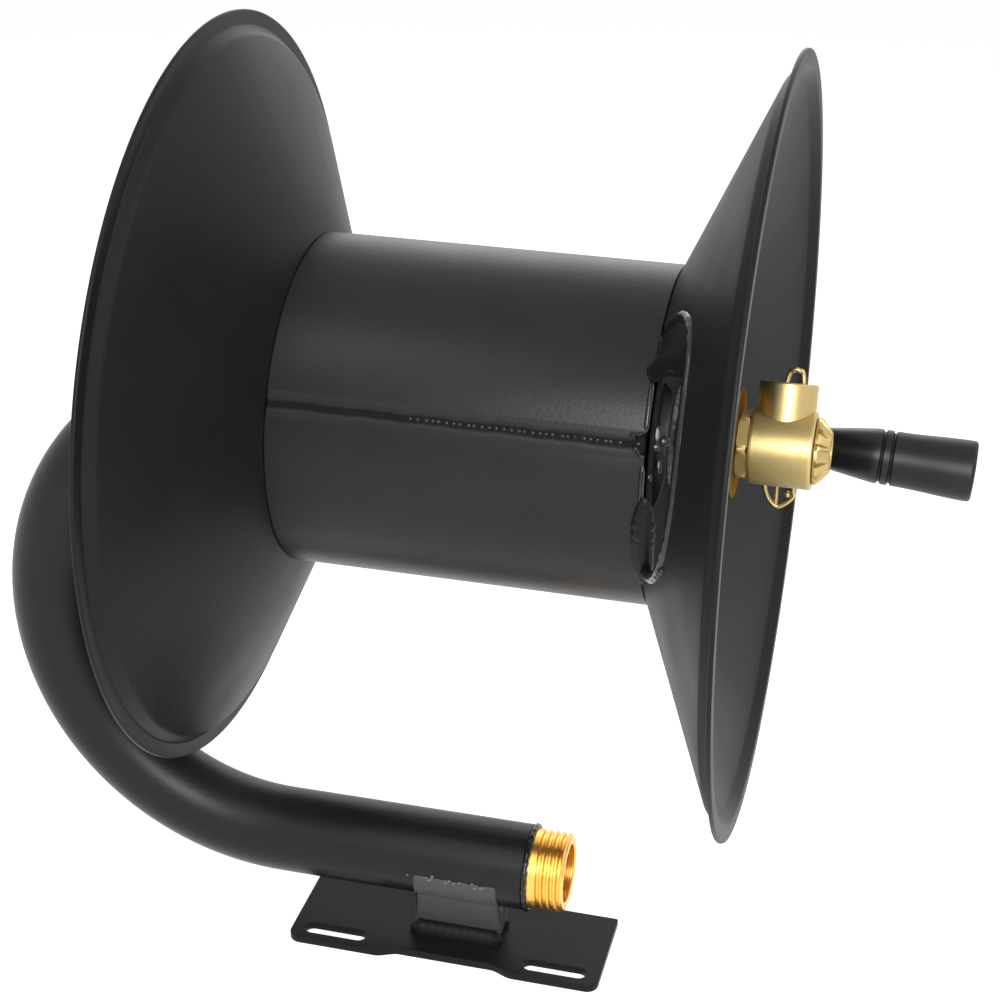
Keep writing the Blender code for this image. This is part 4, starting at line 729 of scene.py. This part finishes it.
web_bead = swept(web_rim, (1, 0, 0), circle(0.0014, 16) * blunt_ends(len(web_rim), 6, 6, 0.05))
add_piece("opening_web", [lattice(np.concatenate([web_face, web_back[:, ::-1]], 1), False),
                          lattice(web_bead, False)], wet_coat, "drum", ("port_lip",), 50)

WALL_X, WALL_RADIUS, WALL_WIDE, WALL_HALF = 0.1004, 0.06295, 0.0050, 0.00075
wall_line = about_axle(WALL_X, WALL_RADIUS, np.linspace(-6, 43, 90))
wall_cut = eased([(0, -WALL_HALF), (WALL_WIDE, -WALL_HALF), (WALL_WIDE, WALL_HALF), (0, WALL_HALF)], 0.0006)
wall_skin = swept(wall_line, (1, 0, 0), wall_cut * blunt_ends(90, 24, 8, 0.03))
add_piece("opening_wall", [lattice(wall_skin, False)], wet_coat, "drum", ("port_inner_wall",),
          40)

BEAD_HIGH, BEAD_LOW, BEAD_RADIUS, BEAD_WIDE, BEAD_TALL = 3, -33, DRUM_RADIUS + 0.0018, 0.0046, 0.0022
bead_turn = np.linspace(BEAD_HIGH, BEAD_LOW, 220)
bead_line = on_dish(bead_turn, np.full(220, BEAD_RADIUS), 0.0006)
bead_run = np.radians(BEAD_HIGH - bead_turn) * BEAD_RADIUS
ridges = 0.14 * np.abs(np.sin(math.pi * bead_run / 0.0050)) * (1 - smoothstep((bead_run - 0.020) / 0.006))
taper = np.sqrt(np.clip(np.minimum(bead_run / 0.012, (bead_run[-1] - bead_run) / 0.016), 0.03, 1))
bead_cut = circle(1.0, 32) * (BEAD_WIDE, BEAD_TALL) * ((1 + ridges) * taper)[:, None, None]
add_piece("opening_weld", [lattice(swept(bead_line, (1, 0, 0), bead_cut), False)], wet_coat, "drum",
          ("port_weld_bead",), 50)

lips = []
for start, end in ((-3.0, 13.0), (23.0, 39.0)):
    lip_line = about_axle(DRUM_RIGHT - 0.0006, DRUM_RADIUS - 0.0004, np.linspace(start, end, 60))
    lip_skin = swept(lip_line, (1, 0, 0), circle(0.0012, 16) * blunt_ends(60, 8, 8, 0.05))
    lips.append(lattice(lip_skin, False))
add_piece("opening_lip", lips, gloss_coat, "drum", (), 60)

# Drops of weld on the cut edges: flat ovals that look forwards and up, and a round one outside the rod
toward = np.array([0.2244, -0.8963, 0.3819])
sideways = np.cross((0, 0, 1), toward) / np.linalg.norm(np.cross((0, 0, 1), toward))
upright = np.cross(toward, sideways)
oval = ball(24, 14, 0.15)
DROP_HALF = 0.0009
drops = []
for angle, radius, out, wide, tall in ((22.5, 0.0642, 0.0030, 0.0026, 0.0046),
                                       (20.5, 0.0642, 0.0060, 0.0024, 0.0022),
                                       (18.0, 0.0642, 0.0028, 0.0026, 0.0020),
                                       (11.0, 0.0640, 0.0045, 0.0016, 0.0034),
                                       (7.0, 0.0672, 0.0012, 0.0014, 0.0018)):
    skin = (oval[..., :1] * wide * sideways + oval[..., 1:2] * tall * upright
            + oval[..., 2:] * DROP_HALF * toward)
    drops.append(lattice(about_axle(DRUM_RIGHT + out, radius, angle) + skin, False))
drop_angle = np.array([-7.0])
outer_drop = on_dish(drop_angle, port_line(drop_angle) + 0.0034, 0.0004)
add_piece("opening_drops", drops + beads(outer_drop, [0.0019], 1.0), gloss_coat, "drum", (), 60)

# Inlet boss and water way
# A steel boss turned from 38 mm bar and welded through the right disc, a pipe welded square into it
# and a socket on the pipe's end for the hose. Only the boss's outer end shows; all are powder coated.
AXLE = (0, 0, AXIS_Z)
BOSS_START, BOSS_END, BOSS_RADIUS, BOSS_BORE = 0.0681, 0.1267, 0.0190, 0.0080
BOSS_FLOOR = BOSS_START + 0.004
boss_line = eased([(BOSS_START, 0.0010), (BOSS_START, BOSS_RADIUS), (BOSS_END, BOSS_RADIUS),
                   (BOSS_END, BOSS_BORE), (BOSS_FLOOR, BOSS_BORE), (BOSS_FLOOR, 0.0010)], 0.0006)
add_piece("boss", [turned(boss_line, AXLE, loop=False)], satin_coat, "drum", ("inlet_boss",))
COLLAR_STEPS, COLLAR_BORE = 240, 0.0191
collar = np.array([(0.1003, COLLAR_BORE), (0.1003, 0.0232), (0.1012, 0.0228), (0.1024, 0.0214),
                   (0.1036, 0.0202), (0.1045, COLLAR_BORE)])[:, None]
collar_wave = np.abs(np.sin(np.linspace(0, math.tau, COLLAR_STEPS, endpoint=False) * 13))[None, :, None]
swell = 1 + 0.10 * collar_wave * (collar[..., 1:] > 0.0195)
collar = np.concatenate([np.broadcast_to(collar[..., :1], (6, COLLAR_STEPS, 1)),
                         COLLAR_BORE + (collar[..., 1:] - COLLAR_BORE) * swell], -1)
add_piece("boss_collar_weld", [turned(collar, AXLE, steps=COLLAR_STEPS)], gloss_coat, "drum", ("boss_weld",),
          60)
riser_at = (DRUM_RIGHT - 0.015, 0, AXIS_Z)
for name, outline, node in (("riser", sleeve(0.0193, 0.0400, 0.0080, 0.01065, 0.0003), "riser_pipe"),
                            ("socket", sleeve(0.0403, 0.0560, 0.0080, 0.0135, 0.0008), "hose_socket")):
    add_piece(name, [turned(outline, riser_at, (0, -1, 0), 64)], satin_coat, "drum", (node,))

# Brass swivel on the inlet
# A thin washer stamped from sheet, a stem turned from hexagon bar, a cast and machined body with an
# upright inlet, a notched ring that keeps the body on the stem, and a spring clip of brass wire.

# Satin brass, a little grainy from blasting, paler than the stub and hardly tarnished
pale_brass, tree, shader, where, _ = new_look(
    "cast_and_machined_brass", 60.0, 2.0, "#b09a62", "#ccb680", {"Metallic": 1.0, "Roughness": 0.40})
grain = add_node(tree, "ShaderNodeTexNoise", {"Vector": where, "Scale": 1400.0, "Detail": 3.0})
relief = add_node(tree, "ShaderNodeBump", {"Height": grain.outputs["Fac"], "Strength": 0.35,
                                           "Distance": 0.0002})
tree.links.new(relief.outputs[0], shader.inputs["Normal"])

# Rolled brass sheet gone dull and brown in handling, with no bright edge at a flat view
sheet_brass = new_look("stamped_brass_sheet", 180.0, 3.0, "#8d7136", "#a28448",
                       {"Metallic": 1.0, "Roughness": 0.5, "Specular Tint": (*linear("#6a5020"), 1)})[0]
add_piece("sheet_washer", [turned(sleeve(0.1270, 0.1283, 0.0080, 0.0250, 0.0004), AXLE, steps=128)],
          sheet_brass, "drum", ("brass_washer",))


def hexagon_reach(flats, turn, steps):
    """Give a hexagon's radius round its axis: flats / 2 / cos(angle from the nearest flat's middle)."""
    around = np.linspace(0, math.tau, steps, endpoint=False)
    return flats / 2 / np.cos((around + turn) % (math.pi / 3) - math.pi / 6)


HEX_FLATS, HEX_START, HEX_END, HEX_STEPS = 0.0286, 0.1286, 0.1336, 192
HEX_CORNER = HEX_FLATS / 2 * 1.125
STEM_START, STEM_END, STEM_RADIUS, STEM_BORE = 0.1067, 0.1658, 0.0096, 0.0060
to_hexagon = hexagon_reach(HEX_FLATS, math.radians(42), HEX_STEPS)
hex_rows = [np.stack([np.full(HEX_STEPS, at), np.minimum(to_hexagon, HEX_CORNER - drop)], -1)
            for at, drop in ((HEX_START, 0.0010), (HEX_START + 0.0002, 0.0006), (HEX_START + 0.0008, 0.0),
                             (HEX_END - 0.0008, 0.0), (HEX_END - 0.0002, 0.0006), (HEX_END, 0.0010))]
stem_in = rows_round([(STEM_START, STEM_BORE), (STEM_START, 0.0076), (STEM_START + 0.0001, 0.0077),
                      (HEX_START, 0.0077)], HEX_STEPS)
stem_out = rows_round([(HEX_END, 0.0098), (HEX_END + 0.0002, STEM_RADIUS), (0.1555, STEM_RADIUS),
                       (STEM_END - 0.0004, STEM_RADIUS), (STEM_END, STEM_RADIUS - 0.0004), (STEM_END, 0.0061),
                       (STEM_END - 0.0005, 0.0057), (0.1545, 0.0057), (0.1540, STEM_BORE)], HEX_STEPS)
add_piece("hexagon_stem", [turned(np.concatenate([stem_in, hex_rows, stem_out]), AXLE, steps=HEX_STEPS)],
          pale_brass, "drum", ("inlet_stem",))


def cut_solid(name, solid, tools):
    """Join or cut finished (corners, faces) solids exactly and give the mesh; the tools don't stay."""
    helpers = []
    for number, (part, operation) in enumerate([(solid, None)] + tools):
        mesh = bpy.data.meshes.new(f"{name}_{number}")
        mesh.from_pydata(part[0].tolist(), [], part[1])
        helper = show(f"{name}_{number}", mesh)
        if operation:
            step = helpers[0].modifiers.new(operation, "BOOLEAN")
            step.operation = operation
            step.object = helper
            step.solver = "EXACT"
        helpers.append(helper)
    result = bpy.data.meshes.new_from_object(helpers[0].evaluated_get(bpy.context.evaluated_depsgraph_get()))
    for helper in helpers:
        bpy.data.objects.remove(helper)
    return result


BODY_START, BODY_END, BODY_RADIUS, BODY_BORE = 0.1339, 0.1620, 0.0175, 0.0100
NECK_RADIUS, NECK_END, NECK_BORE = 0.0130, 0.0290, 0.0086
BODY_MIDDLE = (0.14795, 0, AXIS_Z)
tilt = math.radians(21)
upward = (0, math.sin(tilt), math.cos(tilt))
barrel = turned(eased([(BODY_START, 0.0001), (BODY_START, 0.0172), (BODY_START + 0.0012, BODY_RADIUS),
                       (BODY_END - 0.0012, BODY_RADIUS), (BODY_END, 0.0172), (BODY_END, 0.0001)], 0.0010),
                AXLE, loop=False)
neck = turned(eased([(0.0, 0.0001), (0.0, NECK_RADIUS), (0.0165, NECK_RADIUS),
                     (NECK_END - 0.0005, NECK_RADIUS), (NECK_END, 0.0124), (NECK_END, 0.0001)], 0.0008),
              BODY_MIDDLE, upward, loop=False)
bore = turned([(BODY_START - 0.001, 0.0001), (BODY_START - 0.001, BODY_BORE), (BODY_END + 0.001, BODY_BORE),
               (BODY_END + 0.001, 0.0001)], AXLE, loop=False)
drilling = turned(eased([(0.0, 0.0001), (0.0, NECK_BORE), (NECK_END - 0.0008, NECK_BORE),
                         (NECK_END + 0.0010, 0.0104), (NECK_END + 0.0010, 0.0001)], 0.0004),
                  BODY_MIDDLE, upward, loop=False)
body_mesh = cut_solid("swivel", barrel, [(neck, "UNION"), (bore, "DIFFERENCE"), (drilling, "DIFFERENCE")])
show_mesh("swivel_casting", body_mesh, pale_brass, "swivel", ("swivel_body",), 30)

# The ring's bevel has twelve straight notches, deep at its base and shallow at its nose
RING_START, RING_END, RING_BORE, RING_STEPS, NOTCHES = 0.1623, 0.1693, 0.0055, 288, 12
ring_line = eased([(RING_START, 0.0099), (RING_START, 0.0150), (RING_START + 0.0019, 0.0150),
                   (RING_END - 0.0002, 0.0092), (RING_END, 0.0085), (RING_END, RING_BORE),
                   (STEM_END + FIT, RING_BORE), (STEM_END + FIT, 0.0099)], 0.0005)
ring_turn = np.linspace(0, math.tau, RING_STEPS, endpoint=False)
from_notch = np.abs((ring_turn + math.pi / NOTCHES) % (math.tau / NOTCHES) - math.pi / NOTCHES)
notch = 1 - smoothstep((from_notch * 0.0125 - 0.0010) / 0.0003)
on_bevel = ((ring_line[:, 0] > RING_START + 0.0012) & (ring_line[:, 1] > 0.0088))[:, None]
notch_depth = 0.0036 * np.clip((RING_END - ring_line[:, :1]) / 0.0051, 0.1, 1)
cut_radius = ring_line[:, 1:] - notch_depth * notch[None, :] * on_bevel
cut_radius = np.maximum(cut_radius, 0.0086 * on_bevel)
ring_grid = np.stack([ring_line[:, :1] + 0 * cut_radius, cut_radius], -1)
add_piece("notched_ring", [turned(ring_grid, AXLE, steps=RING_STEPS)], pale_brass, "drum", ("swivel_ring",),
          40)

# The clip's wire runs up behind the neck and hangs below the body, with a tongue and a knob inside it
CLIP_Y = BODY_RADIUS + 0.0014
CLIP_TOP_Y = 0.0270 * math.tan(tilt) + NECK_RADIUS / math.cos(tilt) + 0.0022
TONGUE_X, TONGUE_LOW, TONGUE_RISE = -0.0031, -0.0366, 0.0166
clip_points = [(-0.0060, CLIP_Y, 0), (-0.0022, CLIP_TOP_Y, 0.0235), (0.0, CLIP_TOP_Y, 0.0270),
               (0.0024, CLIP_TOP_Y, 0.0270), (0.0046, CLIP_TOP_Y, 0.0235), (0.0060, CLIP_Y, 0),
               (0.0044, CLIP_Y, -0.0260), (0.0044, CLIP_Y, -0.0320), (-0.0031, CLIP_Y, -0.0372),
               (-0.0089, CLIP_Y, -0.0260)]
clip_line = smooth_loop(np.array(clip_points) + BODY_MIDDLE, 10)
clip_line = np.vstack([clip_line[-1:], clip_line, clip_line[:1]])
clip_skin = swept(clip_line, (0, 1, 0), circle(0.0011, 14))[1:-1]
add_piece("wire_clip", [lattice(clip_skin, True)], pale_brass, "swivel", ("swivel_clip",), 60)
share = np.linspace(0, 1, 12)
tongue_line = np.stack([TONGUE_X + 0 * share, CLIP_Y + 0 * share, TONGUE_LOW + TONGUE_RISE * share], -1)
tongue_skin = swept(tongue_line + BODY_MIDDLE, (0, 1, 0), circle(0.0009, 12))
knob = np.array([[0.0020, CLIP_Y, -0.0308]]) + BODY_MIDDLE
add_piece("clip_tongue", [lattice(tongue_skin, False)] + beads(knob, [0.0017], 1.0), pale_brass, "swivel", (),
          60)

# Dull seals of moulded rubber with a faint bloom
rubber = new_look("moulded_black_rubber", 300.0, 2.0, "#161616", "#242424", {"Roughness": 0.75})[0]
for number, seal_x in ((1, 0.13895), (2, 0.15695)):
    seal_skin = swept(hoop(seal_x, 0.00915, AXIS_Z, 96), (1, 0, 0), circle(0.00084, 12))
    add_piece(f"seal_{number}", [lattice(seal_skin[:-1], True)], rubber, "drum", (f"swivel_seal_{number}",),
              60)

# Crank handle
# A steel boss welded on the right dish's outside holds a zinc plated stud; a nut locks it and a washer
# keeps the free turning grip off it. The grip is one moulding of dark plastic with a pressed in cap.
CRANK_AT, CRANK_DROP = (0.121740, 0.116698, 0.244204), math.radians(3.3)
CRANK_WAY = (math.cos(CRANK_DROP), 0, -math.sin(CRANK_DROP))
BOSS_STEPS = 96
spokes = spokes_about(np.array(CRANK_WAY), BOSS_STEPS)


def dish_contact(radius):
    """Give how far along the stud's line a ring of this radius meets the dish, in twelve closer steps."""
    reach = np.zeros(BOSS_STEPS)
    for _ in range(12):
        spot = np.array(CRANK_AT) + reach[:, None] * CRANK_WAY + radius * spokes
        away = np.hypot(spot[:, 1], spot[:, 2] - AXIS_Z)
        reach = reach + DRUM_RIGHT + (away - DRUM_RADIUS) * SLOPE + SHEET_OUT + 0.0004 - spot[:, 0]
    return reach


boss_foot = [np.stack([dish_contact(r), np.full(BOSS_STEPS, r)], -1)
             for r in (0.0054, 0.0085, 0.0108, 0.0110)]
boss_top = rows_round([(0.0110, 0.0110), (0.0117, 0.0108), (0.0120, 0.0102), (0.0120, 0.0058),
                       (0.0116, 0.0054)], BOSS_STEPS)
add_piece("grip_boss", [turned(np.concatenate([boss_foot, boss_top]), CRANK_AT, CRANK_WAY, BOSS_STEPS)],
          satin_coat, "drum", ("crank_boss",))

# Electroplated zinc: blue white, fairly bright, with fine cloudy variation
zinc_plate = new_look("bright_zinc_plate", 350.0, 3.0, "#9fa3a6", "#c9cdd0",
                      {"Metallic": 1.0, "Roughness": 0.30})[0]
NUT_FLATS, NUT_THICK, NUT_HOLE, NUT_STEPS = 0.016, 0.006, 0.0053, 144


def nut_grid(start):
    """Give a nut's rows: six flats, corners cut back to a cone at both ends, and a round hole."""
    end = start + NUT_THICK
    to_flats = hexagon_reach(NUT_FLATS, math.pi / 6, NUT_STEPS)
    outside = [np.stack([np.full(NUT_STEPS, at), np.minimum(to_flats, NUT_FLATS * cap * 1.02)], -1)
               for at, cap in ((start, 0.49), (start + 0.0006, 0.56), (end - 0.0006, 0.56), (end, 0.49))]
    hole = rows_round([(end, NUT_HOLE + 0.0004), (end - 0.0004, NUT_HOLE), (start + 0.0004, NUT_HOLE),
                       (start, NUT_HOLE + 0.0004)], NUT_STEPS)
    return np.concatenate([outside, hole])


add_piece("stud", [turned(sleeve(0.0040, 0.1076, 0.0001, 0.0050, 0.0006), CRANK_AT, CRANK_WAY, 48, False)],
          zinc_plate, "drum", ("crank_stud",))
for name, start in (("crank_lock", 0.0123), ("grip_end", 0.1013)):
    add_piece(f"{name}_hexagon", [turned(nut_grid(start), CRANK_AT, CRANK_WAY, NUT_STEPS)], zinc_plate,
              "drum", (f"{name}_nut",))
add_piece("grip_washer", [turned(sleeve(0.0186, 0.0201, 0.0053, 0.0090, 0.0003), CRANK_AT, CRANK_WAY)],
          zinc_plate, "drum", ("crank_washer",))

# Injection moulded polypropylene: near black, glossy along its neck and duller where the hand holds it,
# with a faint moulded grain
grip_plastic, tree, shader, where, _ = new_look(
    "moulded_dark_plastic", 60.0, 3.0, "#0e0f0f", "#181919", {"Specular IOR Level": 0.3})
grain = add_node(tree, "ShaderNodeTexNoise", {"Vector": where, "Scale": 900.0, "Detail": 2.0})
relief = add_node(tree, "ShaderNodeBump", {"Height": grain.outputs["Fac"], "Strength": 0.05,
                                           "Distance": 0.0002})
along_grip = add_node(tree, "ShaderNodeSeparateXYZ", {0: where}).outputs["X"]
dull = add_node(tree, "ShaderNodeMapRange", {"Value": along_grip, "From Min": 0.180, "From Max": 0.190,
                                             "To Min": 0.26, "To Max": 0.42})
tree.links.new(relief.outputs[0], shader.inputs["Normal"])
tree.links.new(dull.outputs[0], shader.inputs["Roughness"])

# Along the stud: a neck that flares, two grooves, and a hand part that swells to its end
GRIP_START, FLARE_START, FLARE_END, HAND_START, GRIP_END = 0.0204, 0.0234, 0.0624, 0.0730, 0.1109
WAIST_RADIUS, HAND_RADIUS, HAND_SWELL = 0.00825, 0.01375, 0.00148
t = np.linspace(0, 1, 24)
flare = np.stack([FLARE_START + (FLARE_END - FLARE_START) * t,
                  WAIST_RADIUS + (HAND_RADIUS - WAIST_RADIUS) * (smoothstep(t) * 0.2 + t * 0.8)], -1)
t = np.linspace(0, 1, 9)
grooves = [np.stack([start + 0.0020 * t, HAND_RADIUS - 0.0012 * np.sin(math.pi * t) ** 0.8], -1)
           for start in (0.0644, 0.0694)]
t = np.linspace(0, 1, 16)
hand = np.stack([HAND_START + (GRIP_END - 0.0022 - HAND_START) * t,
                 HAND_RADIUS + HAND_SWELL * smoothstep(t)], -1)
grip_line = np.vstack([[(GRIP_START, 0.0054), (GRIP_START, 0.0076), (GRIP_START + 0.0003, 0.0081),
                        (GRIP_START + 0.0009, WAIST_RADIUS)], flare, *grooves, hand,
                       [(GRIP_END - 0.0012, 0.0151), (GRIP_END - 0.0004, 0.0146), (GRIP_END, 0.0136),
                        (GRIP_END, 0.0115), (GRIP_END - 0.0003, 0.0113), (0.1010, 0.0113), (0.1010, 0.0054)]])
add_piece("grip_moulding", [turned(grip_line, CRANK_AT, CRANK_WAY)], grip_plastic, "grip", ("crank_grip",),
          40)
cap_line = sleeve(0.1079, 0.1111, 0.0001, 0.0110, 0.0006)
add_piece("grip_plug", [turned(cap_line, CRANK_AT, CRANK_WAY, loop=False)], grip_plastic, "grip",
          ("grip_end_cap",))

# Axle and bearings inside the drum
# Hidden parts: a collared plug welded in the arm, a fixed shaft, a steel sleeve and a bulkhead that
# carry the drum on two nylon bushes, and the washers and ring that hold it on.

# Machined nylon: warm white, waxy
nylon = new_look("natural_nylon", 200.0, 2.0, "#d8d4c4", "#e8e5da", {"Roughness": 0.5})[0]
for names, look in ((("hub_sleeve", "inner_bulkhead"), satin_coat),
                    (("axle_plug", "axle_shaft", "axle_end_washer", "axle_snap_ring"), zinc_plate),
                    (("thrust_washer", "left_bush", "right_bush"), nylon)):
    for name in names:
        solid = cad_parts[name]
        solid.data.materials.clear()
        solid.data.materials.append(look)
